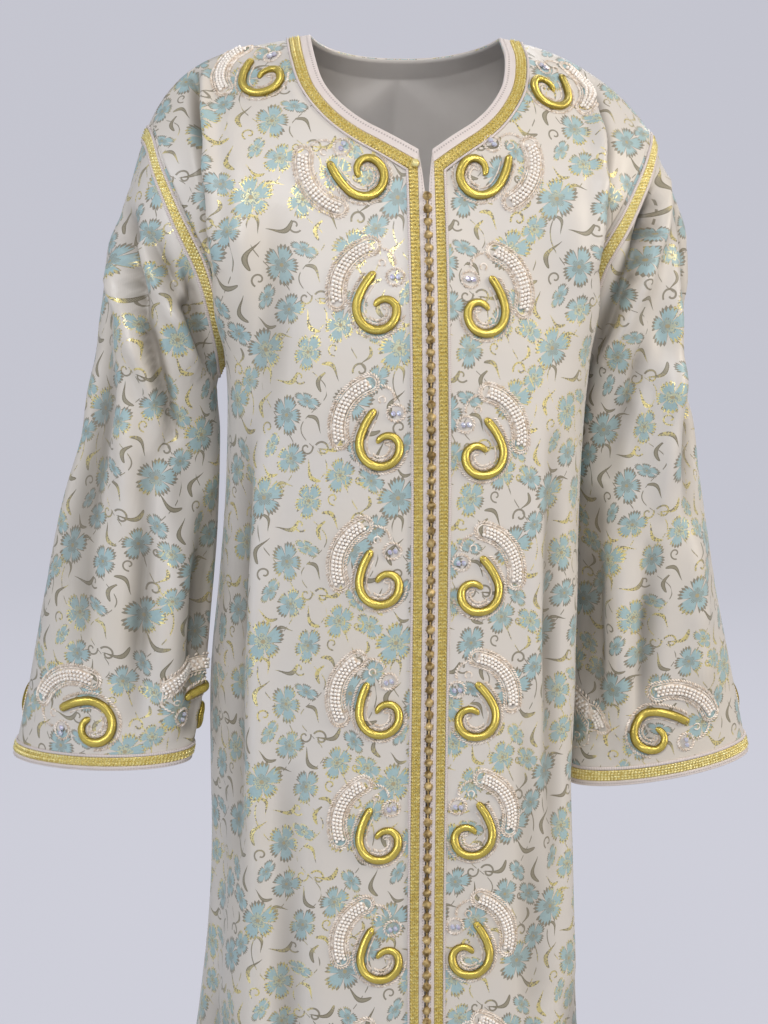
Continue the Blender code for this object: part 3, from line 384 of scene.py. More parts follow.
# Finishes of small parts: two tones, scale and detail of their patches, how these are stretched
# (from, times), grain (scale, strength, depth), and the shader's other values and constants
TWO_TONED = {
    "button thread": ((BUTTON_DARK, BUTTON_LIGHT), (160.0, 2.0), (0.35, 3.0), (900.0, 0.6, 0.0005),
                      {"Roughness": 0.5, "Metallic": 0.45}, {}),
    "embroidery thread": ((STITCH_BEIGE, STITCH_IVORY), (330.0, 1.0), (0.36, 3.4), (2200.0, 0.4, 0.0003),
                          {"Roughness": 0.5}, {"sheen_weight": 0.2, "sheen_roughness": 0.4}),
    "pearls": ((PEARL_WARM, PEARL_WHITE), (240.0, 1.0), None, None,
               {"Roughness": 0.2, "Coat Weight": 0.6}, {"coat_roughness": 0.12}),
    "crystal": ((CRYSTAL_LILAC, CRYSTAL_BLUE), (500.0, 1.0), (0.35, 3.0), None,
                {"Roughness": 0.08, "Metallic": 0.35}, {"coat_weight": 0.8, "coat_roughness": 0.05}),
}

# The studio: floor, lamps (name, place, aim, size, power, colour) and camera
FLOOR = -1.470
FLOOR_RADIUS = 4.6
WALL_BEND = 1.6
WALL_RISES = (1.5, 3.0, 4.5)
SENSOR = 36.0
CLIP_END = 60.0
WORLD = (0.86, 0.88, 0.94)
WORLD_STRENGTH = 0.40
LAMPS = (
    ("key", (-0.9, -2.6, 1.3), (0.0, 0.0, -0.2), 1.3, 50.0, (0.98, 0.985, 1.0)),
    ("side", (2.7, -1.2, 0.9), (0.1, 0.0, -0.3), 1.2, 50.0, (1.0, 0.92, 0.80)),
    ("low", (-2.4, -1.5, -1.0), (0.0, 0.0, -0.6), 1.2, 9.0, (0.74, 0.84, 1.0)),
    ("back", (0.8, 3.0, 1.6), (0.0, 0.0, -0.4), 2.2, 50.0, (0.96, 0.97, 1.0)),
)
CAMERA_LENS = 52.5
CAMERA_PLACE = (-0.176, -1.371, -0.198)
CAMERA_TURN = (80.5, 0.0, -6.5)

# Cells drawn in each cell of the cut: down a panel, across it, across its trims, round a sleeve
FINE_ROWS = 8
FINE_COLUMNS = 8
FINE_TRIM = 2
FINE_RING = 6
SHEET = 0.0012
# How sharply each column of the cut turns the neck corner: fully in the trims, not at all beyond
CORNER_HOLD = (1.0, 1.0, 1.0, 1.0, 0.45, 0.12)
NAPE_HOLD = (1.0, 0.5, 0.2)

# Creases: azimuth they are seen from, points (x, drop), height (- for a trough),
# half width, and the height of the ridge beside a trough (+ on its right, seen from there)
CREASES = {
    "front_right": (
        (0, ((-0.188, 0.03), (-0.1866, 0.063), (-0.1839, 0.104), (-0.1805, 0.146), (-0.178, 0.215)),
         -0.013, 0.0046, 0.7),
        (0, ((-0.16, 0.07), (-0.155, 0.16), (-0.15, 0.29)), 0.0035, 0.016, 0.0),
        (0, ((-0.12, 0.15), (-0.126, 0.26), (-0.14, 0.38)), -0.0022, 0.014, 0.4),
        (0, ((-0.148, 0.33), (-0.157, 0.5), (-0.164, 0.76)), -0.0065, 0.0085, 0.7),
        (0, ((-0.1376, 0.395), (-0.1446, 0.658), (-0.1501, 0.867), (-0.156, 1.1)), 0.004, 0.012, 0.0),
        (0, ((-0.118, 0.62), (-0.121, 0.86), (-0.13, 1.3)), -0.0038, 0.014, 0.5),
        (0, ((-0.09, 0.92), (-0.096, 1.15), (-0.105, 1.45)), 0.006, 0.02, 0.0),
        (0, ((-0.175, 0.86), (-0.188, 1.08), (-0.205, 1.45)), -0.008, 0.018, 0.6),
    ),
    "front_left": (
        (0, ((0.17, 0.035), (0.1714, 0.08), (0.17, 0.12), (0.1664, 0.15), (0.162, 0.215)),
         -0.011, 0.0055, -0.8),
        (0, ((0.13, 0.14), (0.134, 0.24), (0.139, 0.33)), 0.003, 0.016, 0.0),
        (0, ((0.1163, 0.333), (0.1174, 0.528), (0.1257, 0.773)), -0.006, 0.009, -0.5),
        (0, ((0.14, 0.4), (0.139, 0.6), (0.144, 0.86)), 0.0034, 0.011, 0.0),
        (0, ((0.098, 0.56), (0.101, 0.82), (0.109, 1.2)), -0.0034, 0.015, -0.5),
        (0, ((0.145, 0.84), (0.156, 1.08), (0.172, 1.45)), -0.0085, 0.018, -0.6),
        (0, ((0.075, 0.94), (0.08, 1.15), (0.086, 1.45)), 0.0065, 0.02, 0.0),
    ),
    "back": (
        (180, ((-0.15, 0.07), (-0.146, 0.18), (-0.134, 0.33)), -0.0065, 0.01, 0.7),
        (180, ((0.152, 0.06), (0.148, 0.17), (0.138, 0.3)), -0.0075, 0.01, -0.7),
        (180, ((-0.06, 0.11), (-0.05, 0.26), (-0.046, 0.48)), -0.003, 0.016, 0.5),
        (180, ((0.07, 0.18), (0.062, 0.38), (0.06, 0.64)), -0.0034, 0.015, -0.5),
        (180, ((-0.118, 0.4), (-0.128, 0.7), (-0.15, 1.2)), -0.006, 0.014, 0.6),
        (180, ((0.125, 0.48), (0.138, 0.8), (0.158, 1.3)), -0.0056, 0.015, -0.5),
        (180, ((0.01, 0.56), (0.018, 0.9), (0.03, 1.45)), 0.005, 0.018, 0.0),
        (180, ((-0.065, 0.7), (-0.075, 1.0), (-0.09, 1.45)), -0.0064, 0.018, 0.5),
        (180, ((0.08, 0.86), (0.092, 1.12), (0.108, 1.45)), -0.007, 0.017, -0.6),
        (180, ((0.19, 0.9), (0.205, 1.12), (0.225, 1.45)), 0.006, 0.017, 0.0),
    ),
    "sleeve_right": (
        (0, ((-0.249, 0.15), (-0.243, 0.2), (-0.234, 0.252), (-0.2225, 0.3), (-0.209, 0.36)),
         -0.013, 0.0062, -0.8),
        (0, ((-0.23, 0.172), (-0.209, 0.214), (-0.192, 0.252), (-0.176, 0.3)), -0.012, 0.0066, -0.8),
        (0, ((-0.202, 0.196), (-0.193, 0.222), (-0.183, 0.252)), -0.007, 0.0048, -0.7),
        (0, ((-0.248, 0.16), (-0.256, 0.24), (-0.254, 0.33), (-0.252, 0.46)), 0.005, 0.009, 0.0),
        (0, ((-0.28, 0.3), (-0.292, 0.43), (-0.304, 0.56)), -0.005, 0.012, 0.5),
        (0, ((-0.235, 0.36), (-0.242, 0.48), (-0.254, 0.62)), -0.0065, 0.01, 0.6),
        (0, ((-0.182, 0.4), (-0.193, 0.52), (-0.204, 0.64)), -0.01, 0.011, -0.6),
        (270, ((-0.03, 0.13), (-0.034, 0.24), (-0.02, 0.36)), -0.006, 0.011, 0.6),
        (270, ((0.02, 0.16), (0.026, 0.3), (0.018, 0.5)), -0.005, 0.013, -0.5),
        (180, ((0.224, 0.13), (0.206, 0.21), (0.19, 0.3)), -0.0085, 0.0085, 0.7),
        (180, ((0.25, 0.18), (0.244, 0.28), (0.228, 0.4)), -0.006, 0.01, 0.6),
        (180, ((0.27, 0.36), (0.28, 0.48), (0.292, 0.61)), 0.005, 0.014, 0.0),
    ),
    "sleeve_left": (
        (0, ((0.22, 0.112), (0.212, 0.148), (0.203, 0.178), (0.1939, 0.206), (0.1802, 0.245), (0.162, 0.296)),
         -0.016, 0.007, 0.75),
        (0, ((0.239, 0.15), (0.24, 0.259), (0.238, 0.345), (0.231, 0.44)), 0.006, 0.008, 0.0),
        (0, ((0.256, 0.18), (0.264, 0.3), (0.262, 0.44)), -0.009, 0.01, -0.6),
        (0, ((0.212, 0.26), (0.2, 0.33), (0.186, 0.4)), -0.005, 0.01, 0.6),
        (0, ((0.27, 0.44), (0.278, 0.54), (0.286, 0.64)), 0.005, 0.014, 0.0),
        (0, ((0.176, 0.4), (0.178, 0.52), (0.184, 0.66)), -0.01, 0.011, 0.6),
        (0, ((0.225, 0.45), (0.222, 0.56), (0.224, 0.67)), -0.0065, 0.01, -0.6),
        (90, ((-0.02, 0.13), (-0.026, 0.26), (-0.012, 0.4)), -0.006, 0.011, 0.6),
        (90, ((0.03, 0.15), (0.034, 0.3), (0.026, 0.52)), -0.0055, 0.013, -0.5),
        (180, ((-0.222, 0.13), (-0.2, 0.21), (-0.182, 0.29)), -0.0085, 0.0085, -0.7),
        (180, ((-0.244, 0.19), (-0.236, 0.29), (-0.216, 0.4)), -0.006, 0.01, -0.6),
        (180, ((-0.25, 0.38), (-0.256, 0.5), (-0.262, 0.64)), 0.0055, 0.014, 0.0),
    ),
}
CREASE_SAMPLES = 48
CREASE_EDGE_HOLD = 0.008
CREASE_CUFF_HOLD = 0.020
# Unevenness along a crease (size, waves, shift from one crease to the next), and where the ridge
# beside a trough stands and how wide it is, in half widths of the trough
CREASE_WAVES = ((0.22, 9.0, 1.7), (0.12, 23.0, 1.0))
RIDGE_PLACE = 1.9
RIDGE_WIDTH = 1.25
CREASE_DEPTH = 1.40
# FOLD_DEPTH: depth of a trough at which the painted shade in creases is full
FOLD_DEPTH = 0.0085

# The motif sewn round each gold scroll, laid out by rule. Ropes are rows of slanting stitches, the
# plait is two such rows, cords are smooth. These three run beside the scroll's own line: a distance
# (- on the coil's inner side) and the two shares of the line between which they run
ROPE_BESIDE = (0.0064, 0.04, 0.74)
PLAIT_BESIDE = (-0.0066, 0.42, 0.96)
CORD_BESIDE = (-0.0062, 0.06, 0.40)
# The band of pearls: an arc about a middle (across, up), with a rope and a cord round it
BAND_MIDDLE = (-0.014, 0.012)
BAND_RADIUS = 0.040
BAND_TURN = (-10.0, 75.0)
BAND_ROPE = 0.0080
BAND_CORD = 0.0058
# The oval bud with its two crystals, and the sprig and curl between bud and band: each of these two
# is an arc, as middle (across, up), radius and its angles in degrees
BUD = (-0.024, 0.024)
BUD_HALF = (0.0075, 0.0070)
CRYSTAL_APART = 0.0024
SPRIG = (-0.012, 0.036, 0.012, 95.0, 190.0)
CURL = (-0.013, 0.036, 0.0028, -60.0, 240.0)
ARC_STEPS = 40
PEARL_ROWS = (-0.003, 0.0, 0.003)


join, norm = np.concatenate, np.linalg.norm


def unit(vectors):
    """Vectors scaled to length one."""
    return vectors / np.maximum(norm(vectors, axis=-1, keepdims=True), 1e-12)


def smooth(at, knots, values):
    """A smooth curve through the knots, each piece a cubic with the chords' mean slopes."""
    at, knots, values = np.asarray(at, float), np.asarray(knots, float), np.asarray(values, float)
    slopes = np.gradient(values, knots, axis=0)
    piece = np.clip(np.searchsorted(knots, at, side="right") - 1, 0, len(knots) - 2)
    each = at.shape + (1,) * (values.ndim - 1)
    width = (knots[piece + 1] - knots[piece]).reshape(each)
    t = np.clip((at - knots[piece]).reshape(each) / width, 0.0, 1.0)
    start = (1 + 2 * t) * (1 - t) ** 2 * values[piece]
    end = t**2 * (3 - 2 * t) * values[piece + 1]
    lean = t * (1 - t) ** 2 * slopes[piece] + t**2 * (t - 1) * slopes[piece + 1]
    return start + end + lean * width


def read(columns, table, name, at):
    """One named column of a table, read at places along its first column."""
    rows = np.array(table)
    return smooth(at, rows[:, 0], rows[:, columns.index(name)])


def points(columns, table, at, side):
    """Points in space from a table's across, behind and drop columns."""
    across = read(columns, table, "across", at)
    behind = read(columns, table, "behind", at)
    drop = read(columns, table, "drop", at)
    return np.stack([side * across, behind, -drop], -1)


def directions(columns, table, at, side):
    """Unit directions from a table's heading and dip columns."""
    heading = np.radians(read(columns, table, "heading", at))
    dip = np.radians(read(columns, table, "dip", at))
    return np.stack([side * np.cos(dip) * np.cos(heading), np.cos(dip) * np.sin(heading), -np.sin(dip)], -1)


def half_width(side, drop):
    """Half width of the body at its side seam."""
    return read(GIRTH_COLUMNS, GIRTH, "left" if side > 0 else "right", drop)


def bezier(start, first, second, end):
    """Points along the cubic curve of four control points."""
    t = np.linspace(0.0, 1.0, CURVE_SAMPLES)[:, None]
    return (1 - t) ** 3 * start + 3 * t * (1 - t) ** 2 * first + 3 * t**2 * (1 - t) * second + t**3 * end


def curve_row(start, start_way, end, end_way, reach_start, reach_end, cells):
    """A cubic curve between two points, cut into cells of equal length."""
    chord = norm(end - start)
    first = start + start_way * reach_start * chord
    second = end - end_way * reach_end * chord
    line = bezier(start, first, second, end)
    return along(line, np.linspace(0.0, 1.0, cells + 1))


def run_of(line):
    """Distance of each point of a polyline from its start."""
    return join([[0.0], np.cumsum(norm(np.diff(line[:, :3], axis=0), axis=1))])


def along(line, shares, distances=None):
    """Points on a polyline at shares of its length, or at distances from its start."""
    run = run_of(line)
    at = shares * run[-1] if distances is None else distances
    return np.stack([np.interp(at, run, line[:, k]) for k in range(line.shape[1])], -1)


def leaving_ways(corner, band, tangent, ends, turn):
    """Directions in which rows leave the trims: from towards their ends to square to the neckline."""
    normal = unit(np.cross(tangent, band))
    goal = unit(ends - corner)
    goal = unit(goal - np.sum(goal * normal, -1, keepdims=True) * normal)
    return unit(turn[:, None] * band + (1 - turn[:, None]) * goal)


def slanting_ways(ways, starts, ends, first, last):
    """Turn the level directions of rows between two numbers more and more towards their ends."""
    part = np.arange(last - first) / (last - first)
    level = ways[first:last]
    down = np.tile([0.0, 0.0, -1.0], (last - first, 1))
    ways[first:last] = leaving_ways(starts[first:last], level, down, ends[first:last], 1 - part)


def low_drops():
    """Drops of the rows below the underarm, from the hem up."""
    return np.linspace(LENGTH, UNDERARM, LOW_ROWS + 1)[:-1]


def opening(drops):
    """Places of the front opening's middle line."""
    return read(OPENING_COLUMNS, OPENING, "across", drops)


def side_seam(side, drops):
    """Points of a side seam."""
    behind = read(GIRTH_COLUMNS, GIRTH, "behind", drops)
    return np.stack([side * half_width(side, drops), behind, -drops], -1)


def side_edge(side, tables, behind):
    """A panel's edge up its side seam and armhole, with its rows' arriving directions and reaches."""
    drops = low_drops()
    rows = [list(row) for row in tables[side]]
    rows[0][1] = float(half_width(side, UNDERARM))
    share = np.linspace(0.0, 1.0, HIGH_ROWS + 1)
    ends = join([side_seam(side, drops), points(ARMHOLE_COLUMNS, rows, share, side)])
    level = np.tile([0.0, behind, 0.0], (len(drops), 1))
    arrive = join([level, directions(ARMHOLE_COLUMNS, rows, share, side)])
    reach = [read(ARMHOLE_COLUMNS, rows, name, share) for name in ("start", "end")]
    return ends, arrive, [join([np.full(len(drops), one[0]), one]) for one in reach]


def rows_between(starts, ways, ends, arrive, reach):
    """Rows of a panel: a cubic curve from each start to each end."""
    return np.array([curve_row(*row, SIDE_COLUMNS) for row in zip(starts, ways, ends, arrive, *reach)])


def neck_trims(neck, leaving):
    """Trim points beside a neckline: each a width away, square to the line, in the cloth."""
    tangent = unit(np.gradient(neck, axis=0))
    square = unit(leaving - np.sum(leaving * tangent, -1, keepdims=True) * tangent)
    square[-1] = leaving[-1]
    widths = np.array((0.0,) + NECK_TRIM)
    return neck[:, None] + widths[None, :, None] * square[:, None], tangent, square


def fold_height(folds, share, drop):
    """How far the folds move a point out: each a soft ridge or trough along a slanting line."""
    height = np.zeros(np.broadcast(share, drop).shape)
    for top, foot, start, end, rise, width in folds:
        part = np.clip((drop - start) / (end - start), 0.0, 1.0)
        line = top + (foot - top) * part
        fade = np.sin(0.5 * math.pi * np.clip(part / FOLD_FADE, 0.0, 1.0)) ** 2
        if end < LENGTH:
            fade = fade * np.sin(0.5 * math.pi * np.clip((1 - part) / FOLD_FADE, 0.0, 1.0)) ** 2
        height = height + rise * fade * np.exp(-(((share - line) / width) ** 2))
    return height


def grid_normals(grid, ring):
    """Outward or inward unit normals of a grid of points."""
    down = np.gradient(grid, axis=0)
    if ring:
        across = np.roll(grid, -1, axis=1) - np.roll(grid, 1, axis=1)
    else:
        across = np.gradient(grid, axis=1)
    return unit(np.cross(across, down))


def eased(grid, first):
    """The grid with its columns' points eased towards those above and below, most in its middle."""
    grid = grid.copy()
    inner = grid[:, first + 1 : -1]
    part = np.linspace(0.0, 1.0, grid.shape[1] - first)[1:-1]
    weight = 0.25 * np.sin(math.pi * part)[None, :, None]
    for _ in range(EASING_STEPS):
        inner[1:-1] += weight * (inner[:-2] + inner[2:] - 2 * inner[1:-1])
    return grid


def fold_panel(grid, folds, first, side):
    """Moves the columns of a panel beyond its trims out or in along its folds."""
    grid = eased(grid, first)
    share = np.zeros(grid.shape[1])
    share[first:] = np.linspace(0.0, 1.0, grid.shape[1] - first)
    hold = np.sin(0.5 * math.pi * np.clip(share / 0.12, 0.0, 1.0)) * np.clip((1 - share) / 0.1, 0.0, 1.0)
    below_seam = np.clip((len(grid) - 1 - np.arange(len(grid))) / 3, 0.0, 1.0)[:, None]
    height = fold_height(folds, share[None, :], -grid[:, :, 2]) * hold * below_seam
    return grid + side * height[..., None] * grid_normals(grid, False)


def front_panel(side):
    """Rows of a front panel from the hem to the shoulder seam, each from the slot to the side."""
    drops = low_drops()
    slot_drops = join([drops, np.linspace(UNDERARM, CORNER_DROP, CORNER_ROW)])
    out = read(PROFILE_COLUMNS, PROFILE, "front", slot_drops)
    slot = np.stack([opening(slot_drops) + side * SLOT, -out, -slot_drops], -1)
    widths = np.array((0.0,) + FRONT_TRIM)
    slot_trims = slot[:, None] + widths[None, :, None] * np.array([side, 0.0, 0.0])
    share = np.linspace(0.0, 1.0, HIGH_ROWS - CORNER_ROW + 1)
    neck = points(NECK_COLUMNS, FRONT_NECK, share, side)
    neck[:, 0] += opening(CORNER_DROP) * np.clip(1 - share / NECK_EASE, 0.0, 1.0) ** 2
    leaving = directions(NECK_COLUMNS, FRONT_NECK, share, side)
    trims, tangent, square = neck_trims(neck, leaving)
    for k, (width, front) in enumerate(zip(NECK_TRIM, FRONT_TRIM), start=1):
        offset = neck[0] + width * square[0]
        slide = (opening(CORNER_DROP) + side * (SLOT + front) - offset[0]) / tangent[0][0]
        trims[0, k] = offset + slide * tangent[0]
    start = join([slot_trims, trims])
    ends, arrive, reach = side_edge(side, FRONT_ARMHOLE, 1.0)
    ways = unit(start[:, 3] - start[:, 1])
    corner = LOW_ROWS + CORNER_ROW
    slanting_ways(ways, start[:, 3], ends, LOW_ROWS, corner)
    ways[corner:] = leaving_ways(trims[:, 3], square, tangent, ends[corner:], share)
    grid = join([start[:, :3], rows_between(start[:, 3], ways, ends, arrive, reach)], 1)
    return fold_panel(grid, FRONT_FOLDS, 3, side)


def back_half(side):
    """Rows of half of the back, from its centre line to the side, and the band round its neck."""
    drops = low_drops()
    centre_drops = join([drops, np.linspace(UNDERARM, NAPE_DROP, NAPE_ROW)])
    out = read(PROFILE_COLUMNS, PROFILE, "back", centre_drops)
    centre = np.stack([np.zeros_like(out), out, -centre_drops], -1)
    share = np.linspace(0.0, 1.0, HIGH_ROWS - NAPE_ROW + 1)
    neck = points(NECK_COLUMNS, BACK_NECK, share, side)
    leaving = directions(NECK_COLUMNS, BACK_NECK, share, side)
    trims, tangent, square = neck_trims(neck, leaving)
    trims[0, :, 0] = 0.0
    inner = join([centre, trims[:, 3]])
    ends, arrive, reach = side_edge(side, BACK_ARMHOLE, -1.0)
    ways = np.tile([float(side), 0.0, 0.0], (len(inner), 1))
    nape = NAPE_ROW + LOW_ROWS + 1
    slanting_ways(ways, inner, ends, LOW_ROWS, nape)
    ways[nape:] = leaving_ways(trims[:, 3], square, tangent, ends[nape - 1 :], share)[1:]
    grid = rows_between(inner, ways, ends, arrive, reach)
    return fold_panel(grid, BACK_FOLDS, 0, -side), trims[::-1]


def sleeve_rings(side, share):
    """Rings of a sleeve below the underarm, each from its outermost point round the front."""
    table = SLEEVE_LEFT if side > 0 else SLEEVE_RIGHT
    value = {name: read(SLEEVE_COLUMNS, table, name, share)[:, None] for name in SLEEVE_COLUMNS[1:]}
    angle = np.linspace(0.0, 2 * math.pi, 2 * HIGH_ROWS + 1)[:-1][None, :]
    turn = np.radians(value["turn"])
    wide = value["half_width"] * np.cos(angle)
    deep = value["half_depth"] * np.sin(angle)
    across = value["across"] + wide * np.cos(turn) - deep * np.sin(turn)
    behind = value["behind"] + wide * np.sin(turn) - deep * np.cos(turn)
    drop = value["drop"] - value["hang"] * np.cos(angle)
    return np.stack([side * across, behind, -drop], -1)


def sleeve(side, ring):
    """Rings of a sleeve from the armhole to the cuff edge."""
    ends = sleeve_rings(side, np.array([0.0, 1.0]))
    length = norm(ends[1] - ends[0], axis=-1).mean()
    shares = np.linspace(0.0, 1.0, ARM_ROWS + 1)
    shares = join([shares[:-1], 1.0 - np.array(CUFF_BANDS) / length])
    low = sleeve_rings(side, shares)
    downwards = unit(low[1] - low[0])
    angle = np.linspace(0.0, 2 * math.pi, 2 * HIGH_ROWS + 1)[:-1]
    out, change, down = HEAD_LEAD
    outwards = out - change * np.cos(angle)
    lead = unit(np.stack([side * outwards, -change * np.sin(angle), -down + 0 * angle], -1))
    head = []
    for k in range(len(ring)):
        chord = norm(low[0, k] - ring[k])
        first = ring[k] + lead[k] * HEAD_REACH[0] * chord
        second = low[0, k] - downwards[k] * HEAD_REACH[1] * chord
        line = bezier(ring[k], first, second, low[0, k])
        run = norm(np.diff(line, axis=0), axis=1).sum()
        rest = np.linspace(ARMHOLE_BANDS[-1], run, HEAD_ROWS + 1)[1:-1]
        head.append(along(line, None, join([ARMHOLE_BANDS, rest])))
    rings = join([np.stack(head, 1), low])
    run = join([[0.0], np.cumsum(norm(np.diff(rings, axis=0), axis=-1).mean(axis=1))])
    share = (run / run[-1])[:, None]
    height = np.zeros(rings.shape[:2])
    for turn_top, turn_foot, start, end, rise, width in SLEEVE_FOLDS[side]:
        part = np.clip((share - start) / (end - start), 0.0, 1.0)
        line = turn_top + (turn_foot - turn_top) * part
        away = (np.degrees(angle)[None, :] - line + 180.0) % 360.0 - 180.0
        height += rise * np.sin(math.pi * part) ** 1.2 * np.exp(-((away / width) ** 2))
    hold = np.clip((run - ARMHOLE_BANDS[-1]) / TRIM_HOLD, 0.0, 1.0)[:, None]
    hold = hold * np.clip((run[-1] - CUFF_BANDS[0] - run) / TRIM_HOLD, 0.0, 1.0)[:, None]
    return rings + side * (height * hold)[..., None] * grid_normals(rings, True)


def spacing(lines):
    """Mean distance of each line of points from the first, added up from line to line."""
    steps = norm(np.diff(lines[..., :3], axis=0), axis=-1)
    return join([[0.0], np.cumsum(steps.reshape(len(steps), -1).mean(axis=1))])


def finer(lines, cells, knots):
    """Lines of points drawn finer: a cubic through them, with a number of cells in each gap."""
    marks = join([k + np.arange(n) / n for k, n in enumerate(cells)] + [[len(lines) - 1]])
    return smooth(np.interp(marks, np.arange(len(lines)), knots), knots, lines)


def finer_across(grid, cells, knots):
    """A grid drawn finer across its columns: a cubic through each row."""
    return finer(grid.swapaxes(0, 1), cells, knots).swapaxes(0, 1)


def turned_sharp(grid, cells, knots, corner, hold):
    """Rows drawn finer, with a sharp turn at one row: wholly in the first columns, fading beyond."""
    round_rows = finer(grid, cells, knots)
    low = finer(grid[: corner + 1], cells[:corner], knots[: corner + 1])
    high = finer(grid[corner:], cells[corner:], knots[corner:])
    sharp = join([low, high[1:]])
    part = np.zeros(grid.shape[1])
    part[: len(hold)] = hold
    return round_rows + part[None, :, None] * (sharp - round_rows)


def flat_chart(grid, ups, turned):
    """Flat lengths of a grid: every edge's run across and up the cloth, fitted by least squares."""
    normals = grid_normals(grid, False) * (-1 if turned else 1)
    ups = unit(ups - np.sum(ups * normals, -1, keepdims=True) * normals)
    sides = unit(np.cross(ups, normals))
    rows, columns = grid.shape[:2]
    index = np.arange(rows * columns).reshape(rows, columns)
    starts = join([index[:-1].ravel(), index[:, :-1].ravel()])
    ends = join([index[1:].ravel(), index[:, 1:].ravel()])
    place, ups, sides = grid.reshape(-1, 3), ups.reshape(-1, 3), sides.reshape(-1, 3)
    edge = place[ends] - place[starts]
    runs = np.stack([np.sum(edge * unit(way[starts] + way[ends]), -1) for way in (sides, ups)], -1)
    matrix = np.zeros((len(edge) + 1, len(place)))
    matrix[np.arange(len(edge)), starts] = -1.0
    matrix[np.arange(len(edge)), ends] = 1.0
    matrix[-1, 0] = 1.0
    flat = np.linalg.lstsq(matrix, join([runs, np.zeros((1, 2))]), rcond=None)[0]
    return flat.reshape(rows, columns, 2)


class Cloth:
    """A smooth grid of cloth: its points, outward normals and flat lengths."""

    def __init__(self, name, grid, turned, creases=(), ring=False):
        self.name, self.turned, self.ring = name, turned, ring
        self.points, self.flat = grid[..., :3].copy(), grid[..., 3:]
        self.fold = np.zeros(grid.shape[:2])
        self.set_normals()
        if creases:
            pressed = self.held(CREASE_EDGE_HOLD) * press(self.points, self.normals, creases)
            self.points += pressed[..., None] * self.normals
            # How deep each point lies in a trough, for the painted shade in creases
            self.fold = np.clip(-pressed / FOLD_DEPTH, 0.0, 1.0)
            self.set_normals()

    def set_normals(self):
        """Outward unit normals; a ring's first and last columns share theirs."""
        normals = grid_normals(self.points, False) * (-1 if self.turned else 1)
        if self.ring:
            seam = unit(normals[:, 0] + normals[:, -1])
            normals[:, 0] = normals[:, -1] = seam
        self.normals = normals

    def held(self, reach):
        """How free each point is to move: 0 at the top, bottom and side edges, 1 beyond a reach."""
        down = norm(np.diff(self.points, axis=0), axis=-1)
        across = norm(np.diff(self.points, axis=1), axis=-1)
        rows = join([np.zeros((1, down.shape[1])), np.cumsum(down, axis=0)])
        columns = join([np.zeros((across.shape[0], 1)), np.cumsum(across, axis=1)], axis=1)
        near = np.minimum(rows[-1] - rows, rows if self.ring else 1.0)
        if not self.ring:
            near = np.minimum(near, np.minimum(columns[:, -1:] - columns, columns))
        else:
            near = np.minimum(near - CREASE_CUFF_HOLD, 1.0)
        part = np.clip(near / reach, 0.0, 1.0)
        return part * part * (3 - 2 * part)

    def at(self, rows, columns, values=None):
        """The grid's points, or other values on it, between its rows and columns."""
        values = self.points if values is None else values
        rows = np.clip(rows, 0.0, values.shape[0] - 1.0)
        columns = np.clip(columns, 0.0, values.shape[1] - 1.0)
        r = np.minimum(rows.astype(int), values.shape[0] - 2)
        c = np.minimum(columns.astype(int), values.shape[1] - 2)
        s, t = (rows - r)[..., None], (columns - c)[..., None]
        low = values[r, c] * (1 - t) + values[r, c + 1] * t
        high = values[r + 1, c] * (1 - t) + values[r + 1, c + 1] * t
        return low * (1 - s) + high * s

    def rail(self, rows, columns):
        """Points of the cloth with their unit normals beside them."""
        return join([self.at(rows, columns), unit(self.at(rows, columns, self.normals))], -1)


def press(points_, normals, creases):
    """How far the creases move each point: a soft trough or ridge by distance from a smooth line,
    uneven along it, faded out at its ends and where the cloth turns away from the side it is seen from."""
    total = np.zeros(points_.shape[:2])
    for number, (azimuth, line, height, width, beside) in enumerate(creases):
        turn = math.radians(azimuth)
        across = np.array([math.cos(turn), math.sin(turn), 0.0])
        toward = np.array([math.sin(turn), -math.cos(turn), 0.0])
        line = np.array(line)
        at = np.linspace(0.0, 1.0, CREASE_SAMPLES)
        line = smooth(at * (len(line) - 1), np.arange(len(line)), line)
        seen = np.stack([points_ @ across, -points_[..., 2]], -1)
        offset = seen[:, :, None] - line
        nearest = np.argmin((offset**2).sum(-1), axis=-1)
        offset = np.take_along_axis(offset, nearest[:, :, None, None], axis=2)[:, :, 0]
        way = unit(np.gradient(line, axis=0))[nearest]
        away = offset[..., 0] * way[..., 1] - offset[..., 1] * way[..., 0]
        past = offset[..., 0] * way[..., 0] + offset[..., 1] * way[..., 1]
        along_ = at[nearest]
        fade = np.sin(math.pi * np.clip(along_ * 1.02, 0.0, 1.0)) ** 0.7
        if line[-1, 1] > 0.98 * LENGTH:
            fade = np.sin(0.5 * math.pi * np.clip(along_ * 2.5, 0.0, 1.0))
        uneven = 1.0
        for size, waves, shift in CREASE_WAVES:
            uneven = uneven + size * np.sin(waves * along_ + shift * number)
        facing = np.clip((normals @ toward + 0.05) / 0.4, 0.0, 1.0)
        shape = np.exp(-((away / width) ** 2))
        if beside:
            ridge = math.copysign(RIDGE_PLACE, beside) * width
            shape = shape - abs(beside) * np.exp(-(((away - ridge) / (RIDGE_WIDTH * width)) ** 2))
        ends = np.exp(-((past / (2.5 * width)) ** 2))
        total += CREASE_DEPTH * height * shape * fade * uneven * facing * ends
    return total


def charted(grid, ups, turned, shift):
    """A grid of the cut with its flat lengths beside each point, moved to the cloth's own repeat."""
    return join([grid, flat_chart(grid, ups, turned) + np.array(shift)], -1)


def up_ways(grid, backwards):
    """The way the pattern stands: upwards, leaning over the shoulder above the chest."""
    lean = np.clip((0.22 + grid[..., 2]) / 0.18, 0.0, 1.0)
    return np.stack([0 * lean, backwards * lean, 1.0 - 0.35 * lean], -1)


